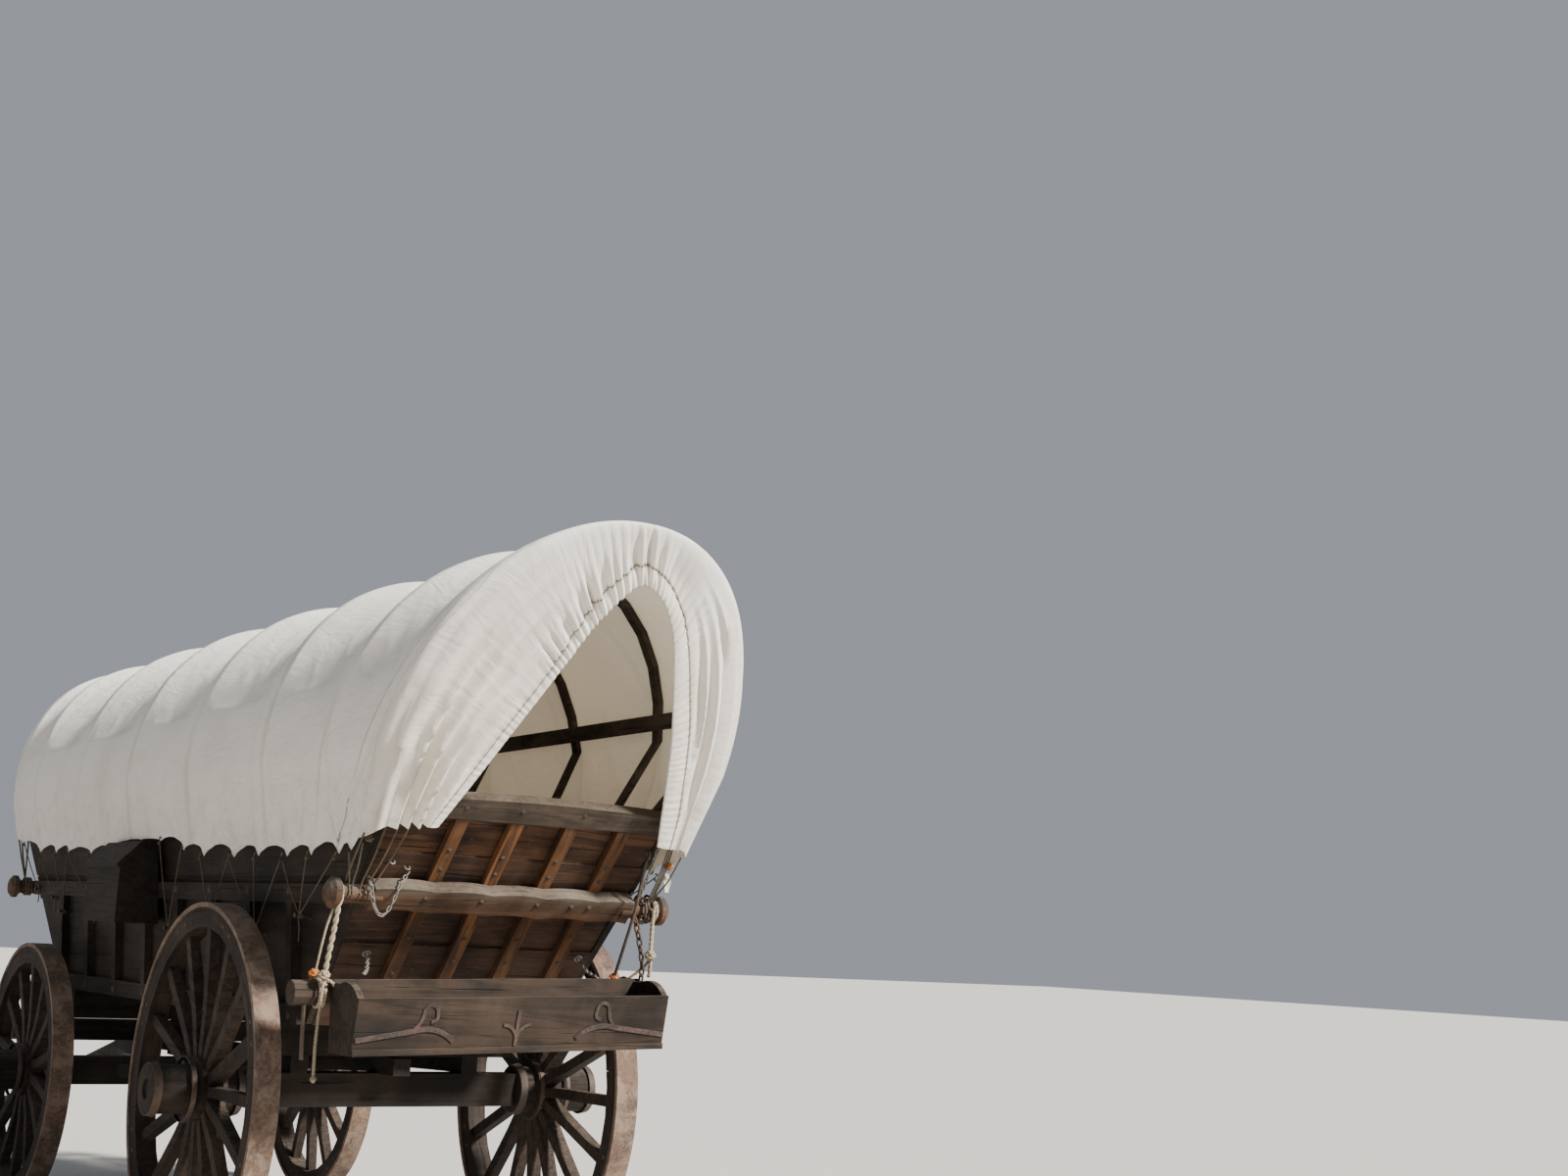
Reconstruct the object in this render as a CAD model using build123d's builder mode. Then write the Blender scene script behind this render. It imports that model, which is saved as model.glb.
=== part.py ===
"""Covered freight wagon: raked and flared box on spoked wheels, bows, canvas cover, trough and tongue."""
from build123d import *
import os
from math import asin, atan, cos, pi, radians, sin, tan

os.makedirs("parts", exist_ok=True)

# All sizes in millimetres. +X is forward, +Y is left, +Z is up.
# The origin is on the ground under the middle of the whole length.

# Running gear
rear_axle_x = -2071.5
wheelbase = 2390.0
front_axle_x = rear_axle_x + wheelbase
track = 1473.0
half_track = track / 2
tyre_width = 95.0
tyre_thickness = 18.0
felloe_depth = 78.0
felloe_width = 82.0
felloe_joint = 2.5
rear_wheel_radius = 700.0
front_wheel_radius = 590.0
wheel_dish = 24.0
hub_outer_length = 205.0
hub_inner_length = 150.0
hub_radius = 118.0
hub_bed_half_length = 50.0
hub_end_radius = 92.0
arm_radius = 38.0
arm_fit = 0.05
spoke_seat = 12.0
spoke_foot_share = 0.84
spoke_throat_width = 42.0
rear_spoke_count = 16
front_spoke_count = 14

# Axles and bolsters
axle_height = 130.0
axle_depth = 105.0
axle_half_length = half_track - hub_inner_length - 8.0
arm_recess = 12.0
running_gap = 6.0
rub_plate_lift = 0.4
rub_plate_radius = 60.0
bolster_depth = 110.0
bolster_half_length = 560.0
sand_board_depth = 100.0
sand_board_height = 95.0
hound_height = 80.0

# Box
box_centre_x = rear_axle_x + 1135.0
floor_length = 3174.0
floor_bottom = 968.0
sill_height = 62.0
sill_width = 80.0
floor_thickness = 26.0
floor_half_width = 490.0
side_flare = 5.0
end_rake = 42.0
side_height_end = 862.0
side_height_middle = 735.0
board_thickness = 26.0
rail_thickness = 36.0
rail_height = 70.0
post_width = 52.0
middle_rail_height = 487.0

# Clearances of the soft cover
cover_clearance = 0.3
bow_fit = 0.3

flare = radians(side_flare)
rake = radians(end_rake)


def edge_run(height):
    """Forward run of a raked end at a height above the underside of the box."""
    return height * tan(rake)


def side_y(height):
    """Inner face of the side at a height above the underside of the box."""
    return floor_half_width + height * tan(flare)


# Wheels: name, axle x, side (+1 left), radius over the tyre, number of spokes
WHEELS = [
    ("rear_left", rear_axle_x, 1, rear_wheel_radius, rear_spoke_count),
    ("rear_right", rear_axle_x, -1, rear_wheel_radius, rear_spoke_count),
    ("front_left", front_axle_x, 1, front_wheel_radius, front_spoke_count),
    ("front_right", front_axle_x, -1, front_wheel_radius, front_spoke_count),
]

for wheel_name, wheel_x, wheel_side, wheel_radius, spoke_count in WHEELS:
    wheel_centre = (wheel_x, wheel_side * half_track, wheel_radius)
    axle_line = Axis(wheel_centre, (0, 1, 0))
    # local x runs outward along the axle, local y runs up the wheel
    section_plane = Plane(origin=wheel_centre, x_dir=(0, wheel_side, 0), z_dir=(wheel_side, 0, 0))
    disc_plane = Plane(origin=wheel_centre, x_dir=(1, 0, 0), z_dir=(0, 1, 0))
    pitch = 360 / spoke_count
    felloe_outer = wheel_radius - tyre_thickness
    felloe_inner = felloe_outer - felloe_depth
    with BuildPart() as tyre:
        with BuildSketch(section_plane):
            with Locations((0, wheel_radius - tyre_thickness / 2)):
                Rectangle(tyre_width, tyre_thickness)
        revolve(axis=axle_line)
    tyre.part.label = f"{wheel_name}_tyre"
    export_step(tyre.part, f"parts/{wheel_name}_tyre.step")
    # the felloes are flat at each spoke's shoulder and butt together between the spokes
    with BuildPart() as felloes:
        with BuildSketch(disc_plane.offset(-felloe_width / 2)):
            Circle(felloe_outer)
            RegularPolygon(
                felloe_inner, 2 * spoke_count, major_radius=False, rotation=pitch / 4, mode=Mode.SUBTRACT
            )
            with PolarLocations(felloe_inner + felloe_depth / 2, spoke_count // 2, start_angle=90 + pitch / 2):
                Rectangle(felloe_depth + 20, felloe_joint, mode=Mode.SUBTRACT)
        extrude(amount=felloe_width)
    felloes.part.label = f"{wheel_name}_felloes"
    export_step(felloes.part, f"parts/{wheel_name}_felloes.step")
    # the spoke bed stands inward of the rim by the dish of the wheel
    with BuildPart() as hub:
        with BuildSketch(section_plane):
            with Locations(((hub_outer_length - hub_inner_length) / 2, hub_end_radius / 2)):
                Rectangle(hub_outer_length + hub_inner_length, hub_end_radius)
        revolve(axis=axle_line)
        with BuildSketch(disc_plane.offset(-wheel_side * wheel_dish - hub_bed_half_length)):
            RegularPolygon(hub_radius, spoke_count, major_radius=False, rotation=90 + pitch / 2)
        extrude(amount=2 * hub_bed_half_length)
        with BuildSketch(disc_plane.offset(-hub_outer_length)):
            Circle(arm_radius + arm_fit)
        extrude(amount=2 * hub_outer_length, mode=Mode.SUBTRACT)
    hub.part.label = f"{wheel_name}_hub"
    export_step(hub.part, f"parts/{wheel_name}_hub.step")
    # spoke sections: share of the way from hub to rim, width along the rim, depth along the axle
    foot_width = spoke_foot_share * 2 * (hub_radius - spoke_seat) * tan(pi / spoke_count)
    SPOKE_SECTIONS = [
        (0.0, foot_width, 66.0),
        (0.14, foot_width, 60.0),
        (0.34, spoke_throat_width, 46.0),
        (1.0, spoke_throat_width, 40.0),
    ]
    spoke_start = hub_radius - spoke_seat
    spoke_run = felloe_inner + spoke_seat - spoke_start
    # face as seen along the axle, edge as seen along the rim; the spoke is what both share
    face_left = []
    face_right = []
    edge_outer = []
    edge_inner = []
    for share, width, depth in SPOKE_SECTIONS:
        level = spoke_start + share * spoke_run
        spoke_shift = -wheel_side * wheel_dish * (1 - share)
        face_left.append((-width / 2, level))
        face_right.append((width / 2, level))
        edge_outer.append((spoke_shift - depth / 2, level))
        edge_inner.append((spoke_shift + depth / 2, level))
    with BuildPart(mode=Mode.PRIVATE) as spoke:
        with BuildSketch(Plane.XZ):
            with BuildLine():
                Polyline(*face_left, *reversed(face_right), close=True)
            make_face()
        extrude(amount=hub_radius, both=True)
        with BuildSketch(Plane.YZ):
            with BuildLine():
                Polyline(*edge_outer, *reversed(edge_inner), close=True)
            make_face()
        extrude(amount=hub_radius, both=True, mode=Mode.INTERSECT)
    with BuildPart() as spokes:
        with Locations(wheel_centre):
            for index in range(spoke_count):
                add(spoke.part, rotation=(0, index * pitch, 0))
    spokes.part.label = f"{wheel_name}_spokes"
    export_step(spokes.part, f"parts/{wheel_name}_spokes.step")

# Axles: name, x, height of the centre
arm_length = half_track + hub_outer_length - arm_recess
for axle_name, axle_x, axle_z in [
    ("rear_axle", rear_axle_x, rear_wheel_radius),
    ("front_axle", front_axle_x, front_wheel_radius),
]:
    with BuildPart() as axle:
        with Locations((axle_x, 0, axle_z)):
            Box(axle_depth, 2 * axle_half_length, axle_height)
            Cylinder(arm_radius, 2 * arm_length, rotation=(90, 0, 0))
    axle.part.label = axle_name
    export_step(axle.part, f"parts/{axle_name}.step")

rear_axle_top = rear_wheel_radius + axle_height / 2
front_axle_top = front_wheel_radius + axle_height / 2

# Reach: from the slot between front axle and sand board back over the rear axle
reach_height = 66.0
reach_half_width = 36.0
reach_tail = 200.0
reach_front_z = front_axle_top + hound_height / 2
reach_bend_x = front_axle_x - 560.0
with BuildPart() as reach:
    with BuildSketch(Plane.XZ.offset(-reach_half_width)):
        with BuildLine():
            Polyline(
                (front_axle_x + 90, reach_front_z - reach_height / 2),
                (reach_bend_x, reach_front_z - reach_height / 2),
                (rear_axle_x + 60, rear_axle_top),
                (rear_axle_x - reach_tail, rear_axle_top),
                (rear_axle_x - reach_tail, rear_axle_top + reach_height),
                (rear_axle_x + 60, rear_axle_top + reach_height),
                (reach_bend_x, reach_front_z + reach_height / 2),
                (front_axle_x + 90, reach_front_z + reach_height / 2),
                close=True,
            )
        make_face()
    extrude(amount=2 * reach_half_width)
reach.part.label = "reach"
export_step(reach.part, "parts/reach.step")

# Rear gear: braces from the axle ends to the reach, with the bolster on top of them
rear_hound_top = rear_axle_top + reach_height
rear_hound_run = 760.0
with BuildPart() as rear_hounds:
    for side in (1, -1):
        with BuildSketch(Plane.XY.offset(rear_axle_top)):
            with BuildLine():
                Polyline(
                    (rear_axle_x - axle_depth / 2, side * 330),
                    (rear_axle_x - axle_depth / 2, side * 400),
                    (rear_axle_x + axle_depth / 2, side * 400),
                    (rear_axle_x + rear_hound_run, side * (reach_half_width + 58)),
                    (rear_axle_x + rear_hound_run, side * reach_half_width),
                    (rear_axle_x + axle_depth / 2, side * 330),
                    close=True,
                )
            make_face()
        extrude(amount=reach_height)
rear_hounds.part.label = "rear_hounds"
export_step(rear_hounds.part, "parts/rear_hounds.step")

with BuildPart() as rear_bolster:
    with Locations((rear_axle_x, 0, (rear_hound_top + floor_bottom) / 2)):
        Box(bolster_depth, 2 * bolster_half_length, floor_bottom - rear_hound_top)
rear_bolster.part.label = "rear_bolster"
export_step(rear_bolster.part, "parts/rear_bolster.step")

# Front gear: hounds between axle and sand board, all turning about the kingpin
sand_board_bottom = front_axle_top + hound_height
sand_board_top = sand_board_bottom + sand_board_height
with BuildPart() as sand_board:
    with Locations((front_axle_x, 0, (sand_board_bottom + sand_board_top) / 2)):
        Box(sand_board_depth, 2 * bolster_half_length, sand_board_height)
    with Locations((front_axle_x, 0, sand_board_top + (running_gap - rub_plate_lift) / 2)):
        Cylinder(rub_plate_radius, running_gap - rub_plate_lift)
sand_board.part.label = "sand_board"
export_step(sand_board.part, "parts/sand_board.step")

front_bolster_bottom = sand_board_top + running_gap
with BuildPart() as front_bolster:
    with Locations((front_axle_x, 0, (front_bolster_bottom + floor_bottom) / 2)):
        Box(bolster_depth, 2 * bolster_half_length, floor_bottom - front_bolster_bottom)
front_bolster.part.label = "front_bolster"
export_step(front_bolster.part, "parts/front_bolster.step")

hound_z = front_axle_top + hound_height / 2
tongue_pin_x = front_axle_x + 620.0
with BuildPart() as front_hounds:
    for side in (1, -1):
        with BuildSketch(Plane.XY.offset(front_axle_top)):
            with BuildLine():
                Polyline(
                    (front_axle_x - 520, side * 330),
                    (front_axle_x - 520, side * 395),
                    (front_axle_x + 60, side * 215),
                    (tongue_pin_x + 60, side * 120),
                    (tongue_pin_x + 60, side * 50),
                    (front_axle_x + 40, side * 150),
                    close=True,
                )
            make_face()
        extrude(amount=hound_height)
front_hounds.part.label = "front_hounds"
export_step(front_hounds.part, "parts/front_hounds.step")

sway_bar_height = 64.0
with BuildPart() as sway_bar:
    with Locations((front_axle_x - 490, 0, front_axle_top - sway_bar_height / 2)):
        Box(60, 900, sway_bar_height)
sway_bar.part.label = "sway_bar"
export_step(sway_bar.part, "parts/sway_bar.step")

# Kingpin: its plate and square nut under the front axle
kingpin_plate = 8.0
kingpin_nut_height = 26.0
kingpin_z = front_wheel_radius - axle_height / 2
with BuildPart() as kingpin:
    with Locations((front_axle_x, 0, kingpin_z - kingpin_plate / 2)):
        Box(80, 80, kingpin_plate)
    with Locations((front_axle_x, 0, kingpin_z - kingpin_plate - kingpin_nut_height / 2)):
        Box(46, 46, kingpin_nut_height)
kingpin.part.label = "kingpin"
export_step(kingpin.part, "parts/kingpin.step")

# Tongue: hinged between the hounds, its round tip resting on the ground
tongue_length = 3050.0
tongue_radius = 45.0
tongue_end_radius = 35.0
tongue_tip_radius = 30.0
tongue_tip_length = 160.0
tongue_half_width = 42.0
tongue_heel = 40.0
tongue_pin_z = hound_z
tongue_pin_radius = 14.0
pin_fit = 0.05
tongue_reach = (tongue_length**2 + tongue_tip_radius**2) ** 0.5
tongue_slope = asin(tongue_pin_z / tongue_reach) - atan(tongue_tip_radius / tongue_length)
# local x runs down the tongue, local y is its upper side
tongue_plane = Plane(
    origin=(tongue_pin_x, 0, tongue_pin_z),
    x_dir=(cos(tongue_slope), 0, -sin(tongue_slope)),
    z_dir=(0, -1, 0),
)
tongue_shaft = tongue_length - tongue_tip_length
tip_plane = Plane(
    origin=(
        tongue_pin_x + tongue_shaft * cos(tongue_slope),
        0,
        tongue_pin_z - tongue_shaft * sin(tongue_slope),
    ),
    x_dir=(0, 1, 0),
    z_dir=(cos(tongue_slope), 0, -sin(tongue_slope)),
)
with BuildPart() as tongue:
    with BuildSketch(tongue_plane.offset(-tongue_half_width)):
        with BuildLine():
            Polyline(
                (-tongue_heel, -tongue_radius),
                (tongue_shaft, -tongue_end_radius),
                (tongue_shaft, tongue_end_radius),
                (-tongue_heel, tongue_radius),
                close=True,
            )
        make_face()
    extrude(amount=2 * tongue_half_width)
    with BuildSketch(tip_plane):
        Circle(tongue_tip_radius)
    extrude(amount=tongue_tip_length)
    with Locations((tongue_pin_x, 0, tongue_pin_z)):
        Cylinder(tongue_pin_radius + pin_fit, 200, rotation=(90, 0, 0), mode=Mode.SUBTRACT)
tongue.part.label = "tongue"
export_step(tongue.part, "parts/tongue.step")

with BuildPart() as tongue_pin:
    with Locations((tongue_pin_x, 0, tongue_pin_z)):
        Cylinder(tongue_pin_radius, 250, rotation=(90, 0, 0))
tongue_pin.part.label = "tongue_pin"
export_step(tongue_pin.part, "parts/tongue_pin.step")

# Doubletree across the tongue, with a hole at each end for the harness gear
doubletree_run = 260.0
doubletree_depth = 75.0
doubletree_thickness = 55.0
doubletree_length = 1180.0
doubletree_hole_radius = 11.0
doubletree_hole_y = 545.0
tongue_taper = (tongue_radius - tongue_end_radius) / (tongue_shaft + tongue_heel)
doubletree_seat = tongue_radius - (doubletree_run + tongue_heel - doubletree_depth / 2) * tongue_taper
with BuildPart() as doubletree:
    with BuildSketch(tongue_plane.offset(-doubletree_length / 2)):
        with Locations((doubletree_run, doubletree_seat + doubletree_thickness / 2)):
            Rectangle(doubletree_depth, doubletree_thickness)
    extrude(amount=doubletree_length)
    with BuildSketch(
        Plane(
            origin=(
                tongue_pin_x + doubletree_run * cos(tongue_slope),
                0,
                tongue_pin_z - doubletree_run * sin(tongue_slope),
            ),
            x_dir=(0, 1, 0),
            z_dir=(sin(tongue_slope), 0, cos(tongue_slope)),
        )
    ):
        with Locations((doubletree_hole_y, 0), (-doubletree_hole_y, 0)):
            Circle(doubletree_hole_radius)
    extrude(amount=200, mode=Mode.SUBTRACT)
doubletree.part.label = "doubletree"
export_step(doubletree.part, "parts/doubletree.step")

# Box floor
half_floor = floor_length / 2
gate_seat = (board_thickness + 0.5) / cos(rake)


def raked_run(height):
    """Half length of the floor between the end gates at a height above its underside."""
    return half_floor + edge_run(height) - gate_seat


def raked_outline(low, high):
    """Side view of a floor layer between two heights, its ends cut to the rake."""
    return [
        (box_centre_x - raked_run(low), floor_bottom + low),
        (box_centre_x + raked_run(low), floor_bottom + low),
        (box_centre_x + raked_run(high), floor_bottom + high),
        (box_centre_x - raked_run(high), floor_bottom + high),
    ]


SILL_Y = (-440.0, 0.0, 440.0)
with BuildPart() as sills:
    for sill_y in SILL_Y:
        with BuildSketch(Plane.XZ.offset(-sill_y - sill_width / 2)):
            with BuildLine():
                Polyline(*raked_outline(0, sill_height), close=True)
            make_face()
        extrude(amount=sill_width)
sills.part.label = "sills"
export_step(sills.part, "parts/sills.step")

with BuildPart() as floor_boards:
    with BuildSketch(Plane.XZ.offset(-floor_half_width)):
        with BuildLine():
            Polyline(*raked_outline(sill_height, sill_height + floor_thickness), close=True)
        make_face()
    extrude(amount=2 * floor_half_width)
floor_boards.part.label = "floor_boards"
export_step(floor_boards.part, "parts/floor_boards.step")

# Sides, flared outward, with swayed top and raked ends
left_side_plane = Plane(
    origin=(box_centre_x, floor_half_width, floor_bottom),
    x_dir=(-1, 0, 0),
    z_dir=(0, cos(flare), -sin(flare)),
)
side_foot = 6.0
side_end_inset = 4.0
seam_height = 545.0
seam_depth = 5.0
seam_width = 7.0
end_height = side_height_end / cos(flare)
middle_height = side_height_middle / cos(flare)
half_foot = half_floor + edge_run(side_foot) - side_end_inset
half_top = half_floor + edge_run(side_height_end) - side_end_inset
with BuildPart() as left_side_boards:
    with BuildSketch(left_side_plane):
        with BuildLine():
            Line((-half_foot, side_foot), (half_foot, side_foot))
            Line((half_foot, side_foot), (half_top, end_height))
            ThreePointArc((half_top, end_height), (0, middle_height), (-half_top, end_height))
            Line((-half_top, end_height), (-half_foot, side_foot))
        make_face()
    extrude(amount=board_thickness)
    # open seam between the lower boards and the top board
    with BuildSketch(left_side_plane.offset(board_thickness - seam_depth)):
        with Locations((0, seam_height)):
            Rectangle(3 * floor_length, seam_width)
    extrude(amount=2 * seam_depth, mode=Mode.SUBTRACT)
left_side_boards.part.label = "left_side_boards"
export_step(left_side_boards.part, "parts/left_side_boards.step")
with BuildPart() as right_side_boards:
    mirror(left_side_boards.part, about=Plane.XZ)
right_side_boards.part.label = "right_side_boards"
export_step(right_side_boards.part, "parts/right_side_boards.step")

# Side frame: a bottom rail and a middle rail with posts between them
POST_X = (-1500.0, -1070.0, -640.0, -215.0, 215.0, 640.0, 1070.0, 1500.0)
with BuildPart() as left_side_frame:
    with BuildSketch(left_side_plane.offset(board_thickness)):
        for height in (side_foot + rail_height / 2, middle_rail_height):
            run = half_floor + edge_run(height) - side_end_inset
            with Locations((0, height)):
                Rectangle(2 * run - rail_height, rail_height)
        with Locations(*[(post_x, (middle_rail_height + side_foot) / 2) for post_x in POST_X]):
            Rectangle(post_width, middle_rail_height - side_foot)
    extrude(amount=rail_thickness)
left_side_frame.part.label = "left_side_frame"
export_step(left_side_frame.part, "parts/left_side_frame.step")
with BuildPart() as right_side_frame:
    mirror(left_side_frame.part, about=Plane.XZ)
right_side_frame.part.label = "right_side_frame"
export_step(right_side_frame.part, "parts/right_side_frame.step")

# End gates: boards in four courses, the first and third standing proud as ledges
gate_side_gap = 0.8
gate_top_drop = 30.0
gate_recess = 9.0
gate_length = (side_height_end - gate_top_drop) / cos(rake)
LEDGE_BANDS = [(0.0, 416.0), (655.0, 855.0)]
# local x runs to the right, local y up the slope, local z out of the wagon
gate_plane = Plane(
    origin=(box_centre_x - half_floor, 0, floor_bottom),
    x_dir=(0, -1, 0),
    z_dir=(-cos(rake), 0, -sin(rake)),
)


def gate_half(slope_height):
    """Half width of the gate at a distance up its slope."""
    return side_y(slope_height * cos(rake)) - gate_side_gap


def gate_band(low, high):
    """Outline of the gate between two distances up its slope."""
    return [
        (-gate_half(low), low),
        (gate_half(low), low),
        (gate_half(high), high),
        (-gate_half(high), high),
    ]


with BuildPart() as rear_gate:
    with BuildSketch(gate_plane.offset(-board_thickness)):
        with BuildLine():
            Polyline(*gate_band(0, gate_length), close=True)
        make_face()
    extrude(amount=board_thickness - gate_recess)
    for low, high in LEDGE_BANDS:
        with BuildSketch(gate_plane.offset(-gate_recess)):
            with BuildLine():
                Polyline(*gate_band(low, high), close=True)
            make_face()
        extrude(amount=gate_recess)
rear_gate.part.label = "rear_gate"
export_step(rear_gate.part, "parts/rear_gate.step")
with BuildPart() as front_gate:
    mirror(rear_gate.part, about=Plane.YZ.offset(box_centre_x))
front_gate.part.label = "front_gate"
export_step(front_gate.part, "parts/front_gate.step")

# Upright slats over the boards, with the shaped top rail across their heads
SLAT_X = (-290.0, -70.0, 150.0, 370.0)
slat_width = 50.0
slat_thickness = 30.0
slat_low = 150.0
slat_high = 1075.0
top_rail_half_length = 505.0
top_rail_low = 1050.0
top_rail_high = 1135.0
top_rail_crown = 14.0
top_rail_thickness = 42.0
with BuildPart() as rear_gate_frame:
    with BuildSketch(gate_plane):
        with Locations(*[(slat_x, (slat_low + slat_high) / 2) for slat_x in SLAT_X]):
            Rectangle(slat_width, slat_high - slat_low)
    extrude(amount=slat_thickness)
    with BuildSketch(gate_plane.offset(-gate_recess)):
        with BuildLine():
            Line((-top_rail_half_length, top_rail_low), (top_rail_half_length, top_rail_low))
            ThreePointArc(
                (top_rail_half_length, top_rail_low),
                (top_rail_half_length + 20, (top_rail_low + top_rail_high) / 2),
                (top_rail_half_length, top_rail_high),
            )
            ThreePointArc(
                (top_rail_half_length, top_rail_high),
                (0, top_rail_high + top_rail_crown),
                (-top_rail_half_length, top_rail_high),
            )
            ThreePointArc(
                (-top_rail_half_length, top_rail_high),
                (-top_rail_half_length - 20, (top_rail_low + top_rail_high) / 2),
                (-top_rail_half_length, top_rail_low),
            )
        make_face()
    extrude(amount=top_rail_thickness)
rear_gate_frame.part.label = "rear_gate_frame"
export_step(rear_gate_frame.part, "parts/rear_gate_frame.step")
with BuildPart() as front_gate_frame:
    mirror(rear_gate_frame.part, about=Plane.YZ.offset(box_centre_x))
front_gate_frame.part.label = "front_gate_frame"
export_step(front_gate_frame.part, "parts/front_gate_frame.step")

# Crossbars: hewn timbers over the slats, wavy in the middle, with turned necks and knobs
crossbar_height = 482.0
crossbar_thickness = 56.0
crossbar_half_depth = 50.0
crossbar_wave = 9.0
crossbar_plank_half = 530.0
crossbar_axis_offset = slat_thickness + crossbar_thickness / 2
crossbar_slope = (crossbar_height + crossbar_axis_offset * sin(rake)) / cos(rake)
rear_crossbar_x = box_centre_x - half_floor - crossbar_slope * sin(rake) - crossbar_axis_offset * cos(rake)
crossbar_z = floor_bottom + crossbar_height
neck_radius = 33.0
# knob profile: distance from the middle of the wagon, radius
KNOB_PROFILE = [
    (490.0, 0.0),
    (490.0, neck_radius),
    (638.0, neck_radius),
    (654.0, 56.0),
    (674.0, 56.0),
    (690.0, 38.0),
    (690.0, 0.0),
]
WAVE_X = (-crossbar_plank_half, *SLAT_X, crossbar_plank_half)
with BuildPart() as rear_crossbar:
    with BuildSketch(gate_plane.offset(slat_thickness)):
        with BuildLine():
            for edge in (1, -1):
                level = crossbar_slope + edge * crossbar_half_depth
                for start, end in zip(WAVE_X[:-1], WAVE_X[1:]):
                    ThreePointArc((start, level), ((start + end) / 2, level + crossbar_wave), (end, level))
            for end in (-crossbar_plank_half, crossbar_plank_half):
                Line((end, crossbar_slope - crossbar_half_depth), (end, crossbar_slope + crossbar_half_depth))
        make_face()
    extrude(amount=crossbar_thickness)
    for side in (1, -1):
        with BuildSketch(
            Plane(origin=(rear_crossbar_x, 0, crossbar_z), x_dir=(0, side, 0), z_dir=(side, 0, 0))
        ):
            with BuildLine():
                Polyline(*KNOB_PROFILE, close=True)
            make_face()
        revolve(axis=Axis((rear_crossbar_x, 0, crossbar_z), (0, 1, 0)))
rear_crossbar.part.label = "rear_crossbar"
export_step(rear_crossbar.part, "parts/rear_crossbar.step")
with BuildPart() as front_crossbar:
    mirror(rear_crossbar.part, about=Plane.YZ.offset(box_centre_x))
front_crossbar.part.label = "front_crossbar"
export_step(front_crossbar.part, "parts/front_crossbar.step")

# Cover form: an arch of short straight runs that falls slightly towards the front
cover_thickness = 12.0
cover_half_width = 705.0
cover_spring_z = 1930.0
cover_crown_z = 2728.0
cover_fall = 1.0
cover_hem_y = 648.0
cover_low_z = 1560.0
arch_power = 2.1
arch_runs = 16
cover_direction = (cos(radians(cover_fall)), 0, -sin(radians(cover_fall)))


def arch_point(step, inset):
    """Point of the arch over the rear axle, step runs up from its left foot, inset from the outside."""
    angle = pi * step / arch_runs
    side = 1 if cos(angle) >= 0 else -1
    half_width = cover_half_width - inset
    rise = cover_crown_z - cover_spring_z - inset
    across = side * half_width * abs(cos(angle)) ** (2 / arch_power)
    return (across, cover_spring_z + rise * sin(angle) ** (2 / arch_power))


def fall_at(x):
    """Drop of the cover from its height over the rear axle."""
    return (x - rear_axle_x) * tan(radians(cover_fall))


# Bows: x at the crown from the rear axle, lean in degrees (positive leans forward at the top)
bow_thickness = 20.0
bow_width = 46.0
bow_foot_z = 1500.0
bow_knee_z = floor_bottom + side_height_end
bow_inset = cover_thickness + cover_clearance
BOWS = [
    (-1800.0, -37.5),
    (-1090.0, -19.0),
    (-230.0, 0.0),
    (620.0, 0.0),
    (1420.0, 0.0),
    (2240.0, 0.0),
    (3150.0, 17.0),
    (3560.0, 23.0),
]


def bow_outline(inset, crown_x, crown_z, lean):
    """Half of a bow's outline from its left foot to the crown, in the plane of the bow."""
    outline = []
    for height in (bow_foot_z, bow_knee_z):
        reach_out = side_y(height - floor_bottom) - bow_fit - (inset - bow_inset)
        outline.append((reach_out, (height - crown_z) / cos(lean)))
    slope = tan(radians(cover_fall))
    for step in range(1, arch_runs // 2 + 1):
        across, height = arch_point(step, inset)
        level = (height - slope * (crown_x - rear_axle_x - crown_z * tan(lean))) / (1 + slope * tan(lean))
        outline.append((across, (level - crown_z) / cos(lean)))
    return outline


with BuildPart() as bows:
    for bow_x, bow_lean in BOWS:
        lean = radians(bow_lean)
        crown_x = rear_axle_x + bow_x
        crown_z = cover_crown_z - fall_at(crown_x) - bow_inset
        outer = bow_outline(bow_inset, crown_x, crown_z, lean)
        inner = bow_outline(bow_inset + bow_thickness, crown_x, crown_z, lean)
        outer_right = [(-across, up) for across, up in reversed(outer[:-1])]
        inner_right = [(-across, up) for across, up in reversed(inner[:-1])]
        bow_plane = Plane(
            origin=(
                crown_x - bow_width / 2 * cover_direction[0],
                0,
                crown_z - bow_width / 2 * cover_direction[2],
            ),
            x_dir=(0, 1, 0),
            z_dir=(cos(lean), 0, -sin(lean)),
        )
        with BuildSketch(bow_plane):
            with BuildLine():
                Polyline(*outer, *outer_right, *reversed(inner + inner_right), close=True)
            make_face()
        extrude(amount=bow_width, dir=cover_direction)
bows.part.label = "bows"
export_step(bows.part, "parts/bows.step")

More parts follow.
